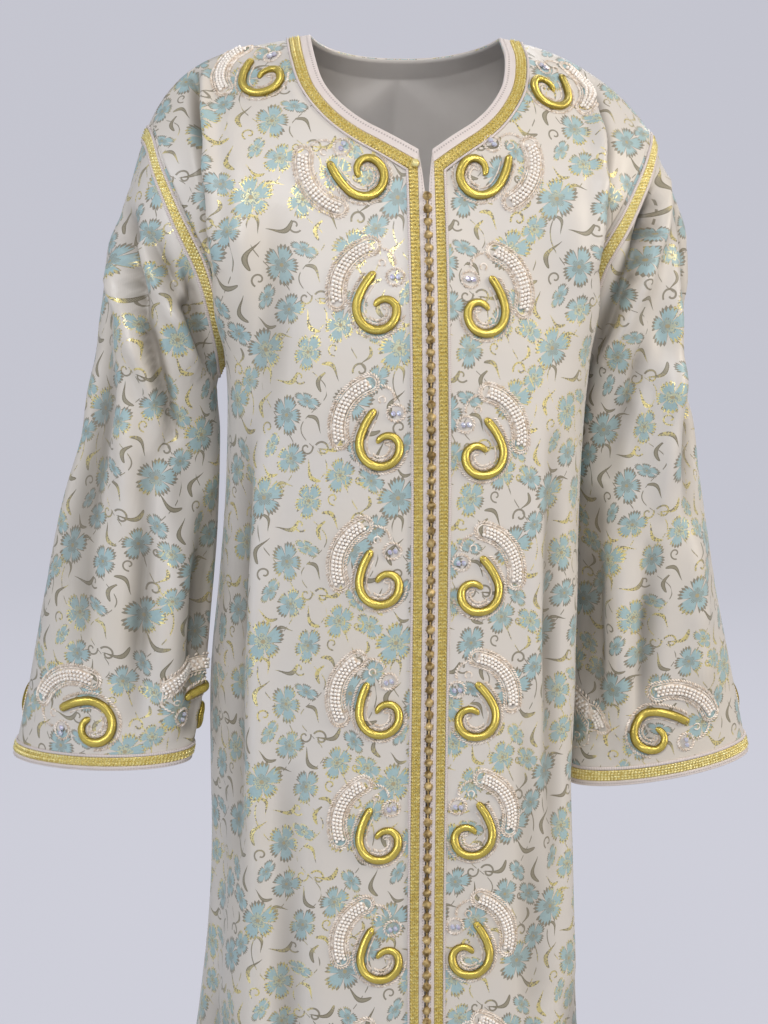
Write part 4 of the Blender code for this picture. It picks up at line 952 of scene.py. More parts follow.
def front_cloth(side):
    """A front panel as smooth cloth, its neck corner mitred sharp."""
    coarse = front_panel(side)
    grid = charted(coarse, up_ways(coarse, 1.0), side < 0, (0.013 + 0.031 * side, 0.020))
    rows, columns = spacing(coarse), spacing(coarse.swapaxes(0, 1))
    grid = turned_sharp(grid, [FINE_ROWS] * (len(coarse) - 1), rows, LOW_ROWS + CORNER_ROW, CORNER_HOLD)
    grid = finer_across(grid, [FINE_TRIM] * 3 + [FINE_COLUMNS] * SIDE_COLUMNS, columns)
    name = f"front_{side_name(side)}"
    return Cloth(name, grid, side < 0, CREASES[name])


def back_cloth(side):
    """Half of the back as smooth cloth, and the band of cloth under the trims round its neck."""
    coarse, trims = back_half(side)
    grid = charted(coarse, up_ways(coarse, -1.0), side > 0, (0.047 - 0.004 * side, 0.055))
    nape = LOW_ROWS + NAPE_ROW
    rows, columns = spacing(coarse), spacing(coarse.swapaxes(0, 1))
    fine = [FINE_ROWS] * (len(coarse) - 1)
    half = turned_sharp(grid, fine, rows, nape, NAPE_HOLD)
    half = finer_across(half, [FINE_COLUMNS] * SIDE_COLUMNS, columns)
    trims = trims[::-1]
    widths = np.array((0.0,) + NECK_TRIM) - NECK_TRIM[-1]
    flat = grid[nape:, :1, 3:] + widths[None, :, None] * np.array([0.5 * side, 0.8])
    band = join([trims, flat], -1)
    band = finer(band, fine[nape:], rows[nape:])
    band = finer_across(band, [FINE_TRIM] * 3, np.array((0.0,) + NECK_TRIM))
    cloth = Cloth(f"back_{side_name(side)}", half, side > 0, CREASES["back"])
    return cloth, Cloth(f"nape_{side_name(side)}", band, side > 0)


def sleeve_cloth(side, front, back):
    """A sleeve as smooth cloth, opened for its pattern along the underarm seam."""
    ring = join([front[LOW_ROWS:, -1][::-1], back[LOW_ROWS:, -1][1:-1]])
    coarse = sleeve(side, ring)
    order = join([np.arange(HIGH_ROWS, 2 * HIGH_ROWS), np.arange(HIGH_ROWS + 1)])
    opened = coarse[:, order]
    ups = -np.gradient(opened, axis=0)
    grid = charted(opened, ups, side < 0, (0.071 * side, 0.034))
    rows, columns = spacing(opened), spacing(opened.swapaxes(0, 1))
    fine = [1, 2, 2, 2] + [FINE_ROWS] * (len(opened) - 8) + [2, 2, 2]
    grid = finer(grid, fine, rows)
    wide = grid.swapaxes(0, 1)
    wrap = 3
    padded = join([wide[-1 - wrap : -1], wide, wide[1 : 1 + wrap]])[..., :3]
    steps = np.diff(columns)
    steps = join([steps[-wrap:], steps, steps[:wrap]])
    knots = join([[0.0], np.cumsum(steps)])
    placed = finer(padded, [FINE_RING] * (len(padded) - 1), knots)[wrap * FINE_RING : -wrap * FINE_RING]
    flat = finer(wide[..., 3:], [FINE_RING] * (len(wide) - 1), columns)
    grid = join([placed, flat], -1).swapaxes(0, 1)
    name = f"sleeve_{side_name(side)}"
    cloth = Cloth(name, grid, side < 0, CREASES[name], ring=True)
    cloth.fine_rows = join([[0], np.cumsum(fine)])
    return cloth


def side_name(side):
    """The wearer's side."""
    return "left" if side > 0 else "right"


def cells(rows, columns, turned, ring=False):
    """Four-cornered faces of a grid of points, closed round its columns where it is a ring."""
    wide = columns if ring else columns - 1
    r, c = np.meshgrid(np.arange(rows - 1), np.arange(wide), indexing="ij")
    here, right = r * columns + c, r * columns + (c + 1) % columns
    faces = np.stack([here, right, right + columns, here + columns], -1).reshape(-1, 4)
    return faces[:, ::-1] if turned else faces


class Gathered:
    """Points, faces and flat lengths gathered for one joined piece."""

    def __init__(self):
        self.points, self.faces, self.flat, self.fold, self.count = [], [], [], [], 0

    def add(self, placed, faces, flat=None, fold=None):
        """Adds one more body or patch; fold tells how deep in a crease each point lies, for the painted shade
        there.
        """
        placed = placed.reshape(-1, 3)
        self.points.append(placed)
        self.faces += [(np.asarray(face) + self.count).tolist() for face in faces]
        self.flat.append(np.zeros((len(placed), 2)) if flat is None else flat.reshape(-1, 2))
        if fold is not None:
            self.fold.append(fold.ravel())
        self.count += len(placed)

    def piece(self, name, material, slot, nodes=(), merge=0.0, smooth_to=60.0):
        """The joined piece in the scene: it rides on the root body and stands for its CAD nodes."""
        mesh = bpy.data.meshes.new(name)
        faces = [face for block in self.faces for face in block]
        mesh.from_pydata(join(self.points).tolist(), [], faces)
        corner = np.zeros(len(mesh.loops), np.int32)
        mesh.loops.foreach_get("vertex_index", corner)
        layer = mesh.uv_layers.new(name="cloth")
        layer.data.foreach_set("uv", join(self.flat)[corner].astype(np.float32).ravel())
        if self.fold:
            deep = mesh.attributes.new("fold", "FLOAT", "POINT")
            deep.data.foreach_set("value", join(self.fold).astype(np.float32))
        if merge:
            work = bmesh.new()
            work.from_mesh(mesh)
            bmesh.ops.remove_doubles(work, verts=work.verts, dist=merge)
            work.to_mesh(mesh)
            work.free()
        for made in material if isinstance(material, (list, tuple)) else [material]:
            mesh.materials.append(made)
        mesh.shade_smooth()
        if smooth_to:
            mesh.set_sharp_from_angle(angle=math.radians(smooth_to))
        piece = bpy.data.objects.new(name, mesh)
        bpy.context.scene.collection.objects.link(piece)
        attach(piece, "root")
        if nodes:
            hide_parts(*nodes)
        return piece


def sheet_piece(name, cloths, materials, nodes):
    """A panel of cloth: its grids welded into one sheet with a thin wall towards the inside."""
    gathered = Gathered()
    for cloth in cloths:
        rows, columns = cloth.points.shape[:2]
        gathered.add(cloth.points, [cells(rows, columns, cloth.turned)], cloth.flat, cloth.fold)
    piece = gathered.piece(name, materials, "brocade", nodes, merge=2e-5, smooth_to=0.0)
    wall = piece.modifiers.new("wall", "SOLIDIFY")
    wall.thickness = SHEET
    wall.offset = -1.0
    wall.material_offset = 1
    wall.material_offset_rim = 0
    return piece


def tube_faces(stations, sides, closed):
    """Faces of a tube through rings of points, its ends closed by fans unless it runs round."""
    ring = np.arange(sides)
    nxt = (ring + 1) % sides
    steps = np.arange(stations if closed else stations - 1)[:, None]
    after = ((steps + 1) % stations) * sides
    wall = np.stack([steps * sides + ring, steps * sides + nxt, after + nxt, after + ring], -1).reshape(-1, 4)
    if closed:
        return [wall]
    start, end = stations * sides, stations * sides + 1
    last = (stations - 1) * sides
    fans = join([
        np.stack([np.full(sides, start), nxt, ring], -1),
        np.stack([np.full(sides, end), last + ring, last + nxt], -1),
    ])
    return [wall, fans]


def tube(line, ups, half_width, half_height, sides, closed=False, gathered=None):
    """A cord along a line: an oval carried square to it, its flat lengths running round and along."""
    if closed:
        way = unit(np.roll(line, -1, axis=0) - np.roll(line, 1, axis=0))
    else:
        way = unit(np.gradient(line, axis=0))
    ups = unit(ups - np.sum(ups * way, -1, keepdims=True) * way)
    across = np.cross(ups, way)
    angle = np.arange(sides) * 2 * math.pi / sides
    half_width = np.broadcast_to(half_width, len(line))[:, None, None]
    half_height = np.broadcast_to(half_height, len(line))[:, None, None]
    rings = line[:, None] + half_width * np.cos(angle)[None, :, None] * across[:, None]
    rings = rings + half_height * np.sin(angle)[None, :, None] * ups[:, None]
    run = run_of(line)
    flat = np.stack(np.broadcast_arrays(angle[None, :] / (2 * math.pi), run[:, None]), -1).reshape(-1, 2)
    placed = rings.reshape(-1, 3)
    if not closed:
        placed = join([placed, line[[0, -1]]])
        flat = join([flat, [[0.5, run[0]], [0.5, run[-1]]]])
    gathered.add(placed, tube_faces(len(line), sides, closed), flat)


def rounded(count, size, ends):
    """Widths along a cord that is round at its ends: the root of how far in each place is."""
    place = np.minimum(np.arange(count) + 0.4, count - 1 - np.arange(count) + 0.4) / ends
    return size * np.sqrt(np.clip(1 - (1 - np.clip(place, 0.0, 1.0)) ** 2, 0.02, 1.0))


def ball(around, rings):
    """A unit ball: points and faces, with its poles on the third axis."""
    turn = np.linspace(0, math.pi, rings + 2)[1:-1][:, None]
    angle = np.arange(around)[None, :] * 2 * math.pi / around
    placed = np.stack(np.broadcast_arrays(
        np.sin(turn) * np.cos(angle), np.sin(turn) * np.sin(angle), np.cos(turn)), -1).reshape(-1, 3)
    placed = join([placed, [[0, 0, 1.0], [0, 0, -1.0]]])
    faces = tube_faces(rings, around, False)
    return placed, [face[:, ::-1] for face in faces]


def studs(gathered, shape, centres, ways, ups, sizes):
    """Many small bodies: one shape stretched along, across and up at each place."""
    unit_points, unit_faces = shape
    ways = unit(ways - np.sum(ways * ups, -1, keepdims=True) * ups)
    across = np.cross(ups, ways)
    sizes = np.broadcast_to(sizes, (len(centres), 3))
    frames = np.stack([ways * sizes[:, :1], across * sizes[:, 1:2], ups * sizes[:, 2:]], 1)
    placed = centres[:, None] + np.einsum("vk,mkx->mvx", unit_points, frames)
    starts = (np.arange(len(centres)) * len(unit_points))[:, None, None]
    gathered.add(placed, [(face[None] + starts).reshape(-1, face.shape[1]) for face in unit_faces])


def even(line, pitch, closed=False):
    """Places at equal distances along a polyline, and the ways it runs there."""
    if closed:
        line = join([line, line[:1]])
    length = run_of(line)[-1]
    count = max(2, round(length / pitch))
    at = (np.arange(count) + 0.5) / count * length
    ahead, behind = along(line, None, at + 0.25 * pitch), along(line, None, at - 0.25 * pitch)
    return along(line, None, at), unit((ahead - behind)[:, :3])


def turned_by(ways, degrees):
    """Flat directions turned by an angle in their plane."""
    a = math.radians(degrees)
    return np.stack([ways[:, 0] * math.cos(a) - ways[:, 1] * math.sin(a),
                     ways[:, 0] * math.sin(a) + ways[:, 1] * math.cos(a)], -1)


def beside(line, distance):
    """A flat line moved sideways by a distance."""
    way = unit(np.gradient(line, axis=0))
    return line + distance * np.stack([-way[:, 1], way[:, 0]], -1)


def scroll_line():
    """The scroll's centre line in its own plane as arcs that turn tighter and tighter, from its head."""
    place, heading, line = np.array(SCROLL_HEAD), math.radians(SCROLL_HEADING), []
    for radius, turn in SCROLL_ARCS:
        turn = math.radians(turn)
        steps = max(2, round(radius * turn / SCROLL_STEP))
        centre = place + radius * np.array([math.sin(heading), -math.cos(heading)])
        at = heading - turn * np.arange(steps) / steps
        line.append(centre + radius * np.stack([-np.sin(at), np.cos(at)], -1))
        heading -= turn
        place = centre + radius * np.array([-math.sin(heading), math.cos(heading)])
    return join(line + [place[None]])


def scroll_places(side):
    """Name, across, drop and turn of each scroll on a front panel."""
    places = SCROLL_PLACES[side]
    column = list(places["column"])
    for _ in range(FRONT_SCROLLS - len(column)):
        across, drop, turn = column[-1]
        column.append((across, drop + SCROLL_PITCH, turn))
    named = [(name, *places[name]) for name in ("shoulder", "neck")]
    return named + [(f"front_{k:02d}", *place) for k, place in enumerate(column, start=1)]


def arc(middle, radius, start, end, squash=1.0):
    """Places on a circle or oval about a middle, from one angle to another in degrees."""
    angle = np.radians(np.linspace(start, end, ARC_STEPS))
    return np.array(middle) + radius * np.stack([np.cos(angle), squash * np.sin(angle)], -1)


def stretch(line, low, high):
    """The part of a line between two shares of its length in points."""
    last = len(line) - 1
    return line[round(low * last) : round(high * last) + 1]


def enclosing(line, distance):
    """A closed line round an open one: both its sides at a distance, joined by half circles."""
    caps = []
    for end, inner in ((-1, -2), (0, 1)):
        way = unit(line[end] - line[inner])
        across = np.array([way[1], -way[0]])
        angle = np.linspace(-0.5 * math.pi, 0.5 * math.pi, 12)[1:-1, None]
        caps.append(line[end] + distance * (np.cos(angle) * way + np.sin(angle) * across))
    sides = [beside(line, distance), beside(line, -distance)[::-1]]
    for k, cap in enumerate(caps):
        if norm(cap[0] - sides[k][-1]) > norm(cap[-1] - sides[k][-1]):
            caps[k] = cap[::-1]
    return join([sides[0], caps[0], sides[1], caps[1]])


def motif_parts():
    """The motif in its own plane: the gold scroll, stitches with their slant, cords and pearls."""
    scroll = scroll_line()
    band = arc(BAND_MIDDLE, BAND_RADIUS, *BAND_TURN)
    bud = arc(BUD, BUD_HALF[0], 0.0, 351.0, BUD_HALF[1] / BUD_HALF[0])
    ropes = [
        (False, beside(stretch(scroll, *ROPE_BESIDE[1:]), ROPE_BESIDE[0])),
        (True, enclosing(band, BAND_ROPE)),
        (True, bud),
        (False, arc(SPRIG[:2], *SPRIG[2:])),
    ]
    stitches, slants = [], []
    for closed, line in ropes:
        places, ways = even(line, STITCH_PITCH, closed)
        stitches.append(places)
        slants.append(turned_by(ways, ROPE_SLANT))
    plait = beside(stretch(scroll, *PLAIT_BESIDE[1:]), PLAIT_BESIDE[0])
    for aside, slant in ((PLAIT_HALF, -PLAIT_SLANT), (-PLAIT_HALF, PLAIT_SLANT)):
        places, ways = even(beside(plait, aside), STITCH_PITCH, False)
        stitches.append(places)
        slants.append(turned_by(ways, slant))
    ring = enclosing(band, BAND_CORD)
    pearls = []
    for number, aside in enumerate(PEARL_ROWS):
        line = beside(band, aside)
        at = np.arange(0.5 * PEARL_PITCH * (number % 2), run_of(line)[-1], PEARL_PITCH)
        pearls.append(along(line, None, at))
    return {
        "scroll": scroll,
        "stitches": join(stitches),
        "slants": join(slants),
        "cords": [join([ring, ring[:1]]), arc(CURL[:2], *CURL[2:]),
                  beside(stretch(scroll, *CORD_BESIDE[1:]), CORD_BESIDE[0])],
        "pearls": join(pearls),
        "band": band,
        "crystals": np.array(BUD) + np.array([[-CRYSTAL_APART, 0.0], [CRYSTAL_APART, 0.0]]),
    }


def locate(cloth, flat, near, wanted):
    """Rows and columns of a cloth at which its flat chart has the wanted values: the nearest point
    of the grid, then steps along the chart's slopes there."""
    index = np.argwhere(near)
    away = ((flat[near][None] - wanted[:, None]) ** 2).sum(-1)
    r, c = index[np.argmin(away, axis=1)].T
    down, across = np.gradient(flat, axis=0)[r, c], np.gradient(flat, axis=1)[r, c]
    area = down[:, 0] * across[:, 1] - down[:, 1] * across[:, 0]
    rows, columns = r.astype(float), c.astype(float)
    for _ in range(3):
        short = wanted - cloth.at(rows, columns, flat)
        rows = rows + np.clip((short[:, 0] * across[:, 1] - short[:, 1] * across[:, 0]) / area, -1.0, 1.0)
        columns = columns + np.clip((down[:, 0] * short[:, 1] - down[:, 1] * short[:, 0]) / area, -1.0, 1.0)
    return rows, columns


class Ground:
    """The cloth round one motif, charted flat: true distances from the middle, in their directions."""

    def __init__(self, cloth, centre, normal, outwards, up, turn):
        """The plane's two directions are turned by an angle in degrees before the cloth is charted."""
        self.cloth = cloth
        a = math.radians(-turn)
        outwards, up = math.cos(a) * outwards + math.sin(a) * up, math.cos(a) * up - math.sin(a) * outwards
        offset = cloth.points - centre
        flat = np.stack([offset @ outwards, offset @ up], -1)
        reach = norm(offset, axis=-1)
        self.flat = flat * (reach / np.maximum(norm(flat, axis=-1), 1e-9))[..., None]
        self.near = (reach < GROUND_REACH) & (cloth.normals @ normal > 0.1)

    def lay(self, marks):
        """Points and normals of the cloth under flat marks."""
        rows, columns = locate(self.cloth, self.flat, self.near, marks)
        return self.cloth.at(rows, columns), unit(self.cloth.at(rows, columns, self.cloth.normals))


def body_ground(side, cloth, across, drop, turn):
    """Ground of a motif on a front panel, and the ways that turn its plane."""
    seen = cloth.points[..., [0, 2]]
    wanted = np.array([[side * across, -drop]])
    rows, columns = locate(cloth, seen, cloth.normals[..., 1] < -0.2, wanted)
    centre, out = cloth.at(rows, columns)[0], unit(cloth.at(rows, columns, cloth.normals)[0])
    outwards = unit(np.array([side, 0.0, 0.0]) - side * out[0] * out)
    up = side * np.cross(out, outwards)
    return Ground(cloth, centre, out, outwards, up, turn)


def cuff_ground(cloth, share, rise, turn):
    """Ground of a motif laid on its side above a cuff, at a share of the way round it, then turned."""
    rises = spacing(cloth.points[::-1])
    row = len(rises) - 1 - np.interp(rise, rises, np.arange(len(rises)))
    count = cloth.points.shape[1]
    columns = (np.arange(count) + HIGH_ROWS * FINE_RING) % (count - 1)
    ring = cloth.at(np.full(count, row), columns.astype(float))
    run = run_of(ring)
    place = np.interp(share * run[-1], run, np.arange(count))
    column = (place + HIGH_ROWS * FINE_RING) % (count - 1)
    at = (np.array([row]), np.array([column]))
    centre, out = cloth.at(*at)[0], unit(cloth.at(*at, cloth.normals)[0])
    ahead = cloth.at(np.array([row]), np.array([min(column + 1.5, count - 1)]))[0]
    behind = cloth.at(np.array([row]), np.array([max(column - 1.5, 0)]))[0]
    around = unit(ahead - behind)
    around = unit(around - around.dot(out) * out)
    upwards = np.cross(out, around)
    upwards = upwards if upwards[2] > 0 else -upwards
    return Ground(cloth, centre, out, upwards, -around, turn)


def sew_motif(ground, size, parts, sewn):
    """One motif sewn to its ground: padded scroll, dark knot, stitches, cords, pearls and crystals."""
    line, ups = ground.lay(size * parts["scroll"])
    share = np.linspace(0.0, 1.0, len(line))
    width = np.interp(share, *zip(*SCROLL_TAPER)) * 0.5 * SCROLL_WIDTH * size
    width = rounded(len(line), width, 3.0)
    tube(line + SCROLL_SINK * width[:, None] * ups, ups, width, SCROLL_LOFT * width, SCROLL_SIDES,
         gathered=sewn["scrolls"])
    top = line[2] + (SCROLL_SINK + SCROLL_LOFT) * width[2] * ups[2]
    studs(sewn["knots"], ball(8, 4), top[None], unit(line[3] - line[1])[None], ups[2][None],
          np.array([KNOT, KNOT, 0.5 * KNOT]))

    places, ups = ground.lay(size * parts["stitches"])
    ahead, _ = ground.lay(size * parts["stitches"] + SLANT_STEP * parts["slants"])
    studs(sewn["stitching"], STITCH, places + STITCH_LIFT * ups, ahead - places, ups,
          np.array(STITCH_SIZE) * size)
    for marks in parts["cords"]:
        line, ups = ground.lay(size * marks)
        width = rounded(len(line), CORD, 2.0)
        tube(line + 0.6 * width[:, None] * ups, ups, width, 0.8 * width, 6, gathered=sewn["stitching"])
    line, ups = ground.lay(size * parts["band"])
    tube(line + 0.3 * BAND_RISE * ups, ups, rounded(len(line), BAND_HALF * size, 4.0), BAND_RISE, 10,
         gathered=sewn["stitching"])
    places, ups = ground.lay(size * parts["pearls"])
    studs(sewn["pearls"], PEARL_SHAPE, places + 0.55 * PEARL * ups, np.roll(ups, 1, axis=1) + 0.3, ups,
          np.full(3, 0.5 * PEARL))
    places, ups = ground.lay(size * parts["crystals"])
    studs(sewn["crystals"], ball(6, 2), places + 0.4 * CRYSTAL * ups, np.roll(ups, 1, axis=1) + 0.3, ups,
          np.array(CRYSTAL_SHAPE) * CRYSTAL)


def rails(cloths, shares):
    """Lines along a trim's rows at places across it, up the front and down the nape, with normals."""
    front, nape = cloths
    rows = np.arange(0.0, front.points.shape[0] - 0.75, 0.5)
    down = np.arange(nape.points.shape[0] - 1.0, -0.25, -0.5)[1:]
    return np.stack([join([front.rail(rows, np.full(len(rows), share)),
                                     nape.rail(down, np.full(len(down), share))]) for share in shares], 1)


def ring_rails(cloth, row, shares):
    """Lines round a sleeve at places across one row of the cut, with normals."""
    low, high = cloth.fine_rows[row], cloth.fine_rows[row + 1]
    columns = np.arange(cloth.points.shape[1] - 1.0)
    return np.stack([cloth.rail(np.full(len(columns), low + share * (high - low)), columns)
                     for share in shares], 1)


def width_between(across):
    """Mean width of a trim from its two edges."""
    edges = across((0.0, 1.0))[..., :3]
    return norm(edges[:, 1] - edges[:, 0], axis=-1).mean()


def strap(lines, heights, thick, closed, gathered, aside=0.0):
    """A flat trim over several lines across it: each line raised by its height, closed underneath.
    Its flat lengths can start aside, which marks a braid's base."""
    placed, ups = lines[..., :3], lines[..., 3:]
    count, wide = placed.shape[:2]
    rise = TRIM_LIFT + thick * np.array(heights)[None, :, None]
    top = placed + rise * ups
    under = placed[:, [-1, 0]] + 0.3 * TRIM_LIFT * ups[:, [-1, 0]]
    rings = join([top, under], 1)
    across = join([[0.0], np.cumsum(norm(np.diff(placed, axis=1), axis=-1).mean(axis=0))])
    across = aside + join([across, across[[-1, 0]]])
    run = run_of(placed[:, wide // 2])
    flat = np.stack(np.broadcast_arrays(across[None, :], run[:, None]), -1)
    sides = wide + 2
    faces = tube_faces(count, sides, closed)[:1]
    if not closed:
        faces.append(np.arange(sides)[None, ::-1])
        faces.append((count - 1) * sides + np.arange(sides)[None])
    volume = np.cross(rings[0, 1] - rings[0, 0], rings[1, 0] - rings[0, 0]).dot(ups[0, 0])
    if volume > 0:
        faces = [face[:, ::-1] for face in faces]
    gathered.add(rings, faces, flat)


def braid(lines_at, width, closed, sewn):
    """Gold braid: a low strap under rows of chain stitches, each a pair of slanting grains."""
    strap(lines_at(BRAID_SHARES), BRAID_HEIGHTS, BRAID_BASE, closed, sewn, aside=2.0)
    rows = BRAID_CHAINS
    for row in range(rows):
        for lean in (-1, 1):
            share = (row + 0.5 + 0.23 * lean) / rows
            line = lines_at((share,))[:, 0]
            places, ways = even(line, BRAID_PITCH, closed)
            ups = unit(places[:, 3:])
            aside = np.cross(ups, ways)
            slant = ways + lean * math.tan(math.radians(BRAID_SLANT)) * aside
            size = np.array([0.50 * BRAID_PITCH, 0.24 * width / rows, BRAID_RISE])
            studs(sewn, STITCH, places[:, :3] + (TRIM_LIFT + BRAID_BASE) * ups, slant, ups, size)


def column_trims(side, front, nape):
    """Edging, gold braid and piping up the slot and round the neck, as three pieces."""
    name = side_name(side)
    cloths = (front, nape)

    def across(column):
        return lambda shares: rails(cloths, [FINE_TRIM * (column + share) for share in shares])

    edging, gold, piping = Gathered(), Gathered(), Gathered()
    strap(across(0)(EDGING_SHARES), EDGING_HEIGHTS, EDGING_THICK, False, edging)
    braid(across(1), FRONT_TRIM[1] - FRONT_TRIM[0], False, gold)
    line = across(2)((0.5,))[:, 0]
    half = 0.5 * (FRONT_TRIM[2] - FRONT_TRIM[1])
    tube(line[:, :3] + 0.8 * half * line[:, 3:], line[:, 3:], half, 0.9 * half, 8, gathered=piping)
    return [
        (edging, f"neck_edging_{name}_woven", "edging", "pale_trim", [f"neck_edging_{name}"]),
        (gold, f"neck_braid_{name}_plaited", "gold_braid", "gold_braid", [f"neck_braid_{name}"]),
        (piping, f"neck_piping_{name}_cord", "piping", "pale_trim", [f"neck_piping_{name}"]),
    ]


def sleeve_trims(side, cloth):
    """Cords and braid at the armhole, and cord, braid and edging at the cuff."""
    name = side_name(side)
    last = len(cloth.fine_rows) - len(CUFF_BANDS)
    pieces = []

    def across(row):
        return lambda shares: ring_rails(cloth, row, shares)

    for row, label in ((1, "armhole_inner_cord"), (3, "armhole_outer_cord"), (last, "cuff_cord")):
        cord = Gathered()
        line = across(row)((0.5,))[:, 0]
        half = CORD_FILL * width_between(across(row))
        tube(line[:, :3] + 0.55 * half * line[:, 3:], line[:, 3:], half, 0.75 * half, 8, True, cord)
        pieces.append((cord, f"{label}_{name}_twisted", "piping", "pale_trim", [f"{label}_{name}"]))
    for row, label in ((2, "armhole_braid"), (last + 1, "cuff_braid")):
        gold = Gathered()
        braid(across(row), width_between(across(row)), True, gold)
        pieces.append((gold, f"{label}_{name}_plaited", "gold_braid", "gold_braid", [f"{label}_{name}"]))
    edging = Gathered()
    strap(across(last + 2)(EDGING_SHARES), EDGING_HEIGHTS, EDGING_THICK, True, edging)
    pieces.append((edging, f"cuff_edging_{name}_woven", "edging", "pale_trim", [f"cuff_edging_{name}"]))
    return pieces


def button_column():
    """Knotted buttons down the slot: balls whose strands bulge in crossing rounds, and their loops."""
    drops = np.arange(FIRST_BUTTON, LAST_BUTTON, BUTTON_PITCH)
    out = read(PROFILE_COLUMNS, PROFILE, "front", drops) + BUTTON_LIFT
    centres = np.stack([opening(drops), -out, -drops], -1)
    gathered = Gathered()
    shape, faces = ball(14, 9)
    turn = np.arctan2(shape[:, 1], shape[:, 0])
    tilt = np.arccos(np.clip(shape[:, 2], -1, 1))
    shape = shape * (1.0 + 0.085 * np.sin(3 * turn + 4 * tilt) * np.sin(tilt)
                     + 0.06 * np.cos(3 * turn - 5 * tilt) * np.sin(tilt))[:, None]
    wobble = np.arange(len(drops))
    ways = np.stack([0.35 * np.sin(2.4 * wobble), 0 * wobble, 1 + 0 * wobble], -1)
    ways = unit(ways)
    ups = np.tile([0.0, -1.0, 0.0], (len(drops), 1))
    sizes = 0.5 * BUTTON * (1.06 + 0.05 * np.sin(1.9 * wobble))[:, None] * np.array(BUTTON_FORM)
    studs(gathered, (shape, faces), centres, ways, ups, sizes)
    small = ball(6, 2)
    between = 0.5 * (centres[1:] + centres[:-1]) + np.array([0.0, 0.0004, 0.0])
    studs(gathered, small, between, np.tile([0.0, 0, 1.0], (len(between), 1)), ups[1:],
          np.array(LINK_SIZE))
    for aside in (-1, 1):
        loops = centres + np.array(LOOP_PLACE) * [aside, 1, aside]
        studs(gathered, small, loops, np.tile([1.0, 0, 0.25 * aside], (len(loops), 1)), ups,
              np.array(LOOP_SIZE))
    return gathered


def corner_knot(front):
    """The small knot where the braid turns its corner: a ball of wound thread."""
    rows = np.array([float((LOW_ROWS + CORNER_ROW) * FINE_ROWS)])
    column = np.array([FINE_TRIM * 1.35])
    centre, up = front.at(rows, column)[0], unit(front.at(rows, column, front.normals)[0])
    shape, faces = ball(16, 11)
    turn, tilt = np.arctan2(shape[:, 1], shape[:, 0]), np.arccos(np.clip(shape[:, 2], -1, 1))
    shape = shape * (1 + 0.09 * np.sin(5 * turn) * np.sin(7 * tilt))[:, None]
    gathered = Gathered()
    studs(gathered, (shape, faces), (centre + CORNER_KNOT[2] * up)[None], np.array([[0.0, 0, 1.0]]), up[None],
          np.array(CORNER_KNOT))
    return gathered


class Dye:
    """A node tree with short ways to add its nodes."""

    def __init__(self, tree):
        self.nodes, self.links = tree.nodes, tree.links

    def put(self, socket, value):
        """Links or sets a socket; three numbers for a colour get their alpha."""
        if isinstance(value, tuple) and len(value) == 3 and socket.type == "RGBA":
            value = (*value, 1.0)
        if isinstance(value, bpy.types.NodeSocket):
            self.links.new(value, socket)
        elif value is not None:
            socket.default_value = value

    def add(self, kind, *values, **settings):
        """A node with its first inputs filled; values may be sockets or numbers."""
        node = self.nodes.new("ShaderNode" + kind)
        for name, value in settings.items():
            setattr(node, name, value)
        for socket, value in zip(node.inputs, values):
            self.put(socket, value)
        return node

    def filled(self, node, **values):
        """A node's first output once its named inputs are filled."""
        for name, value in values.items():
            self.put(node.inputs[name], value)
        return node.outputs[0]

    def maths(self, operation, *values, clamp=False):
        return self.add("Math", *values, operation=operation, use_clamp=clamp).outputs[0]

    # A first value times a second plus a third; the others are named for what they do
    linear = partialmethod(maths, "MULTIPLY_ADD")
    times = partialmethod(maths, "MULTIPLY")
    over = partialmethod(maths, "DIVIDE")
    plus = partialmethod(maths, "ADD")
    minus = partialmethod(maths, "SUBTRACT")
    below = partialmethod(maths, "LESS_THAN")
    above = partialmethod(maths, "GREATER_THAN")
    larger = partialmethod(maths, "MAXIMUM")
    smaller = partialmethod(maths, "MINIMUM")
    absolute = partialmethod(maths, "ABSOLUTE")
    sine = partialmethod(maths, "SINE")
    zigzag = partialmethod(maths, "PINGPONG")

    def vector(self, operation, *values):
        node = self.add("VectorMath", *values, operation=operation)
        return node.outputs["Value" if operation in ("LENGTH", "DISTANCE", "DOT_PRODUCT") else "Vector"]

    def mix(self, factor, first, second):
        """A blend of two colours."""
        node = self.add("Mix", data_type="RGBA")
        for socket, value in ((node.inputs[0], factor), (node.inputs[6], first), (node.inputs[7], second)):
            self.put(socket, value)
        return node.outputs[2]

    def choose(self, factor, first, second):
        """One of two vectors."""
        node = self.add("Mix", data_type="VECTOR")
        for socket, value in ((node.inputs[0], factor), (node.inputs[4], first), (node.inputs[5], second)):
            self.put(socket, value)
        return node.outputs[1]

    def noise(self, place, scale, detail=2.0, roughness=0.5):
        node = self.add("TexNoise", noise_dimensions="3D")
        return self.filled(node, Vector=place, Scale=scale, Detail=detail, Roughness=roughness)

    def bump(self, height, strength, distance):
        return self.filled(self.add("Bump"), Height=height, Strength=strength, Distance=distance)

    def apart(self, vector):
        return self.add("SeparateXYZ", vector).outputs

    def together(self, x, y, z=0.0):
        return self.add("CombineXYZ", x, y, z).outputs[0]


def shade_group(name, inputs, outputs, fill):
    """A shader node group: named sockets, filled by a function that returns its outputs in order."""
    tree = bpy.data.node_groups.new(name, "ShaderNodeTree")
    for label, kind, value in inputs:
        socket = tree.interface.new_socket(name=label, in_out="INPUT", socket_type=kind)
        if value is not None:
            socket.default_value = value
    for label, kind in outputs:
        tree.interface.new_socket(name=label, in_out="OUTPUT", socket_type=kind)
    dye = Dye(tree)
    start, end = dye.nodes.new("NodeGroupInput"), dye.nodes.new("NodeGroupOutput")
    for socket, value in zip(end.inputs, fill(dye, *start.outputs[: len(inputs)])):
        dye.put(socket, value)
    return tree


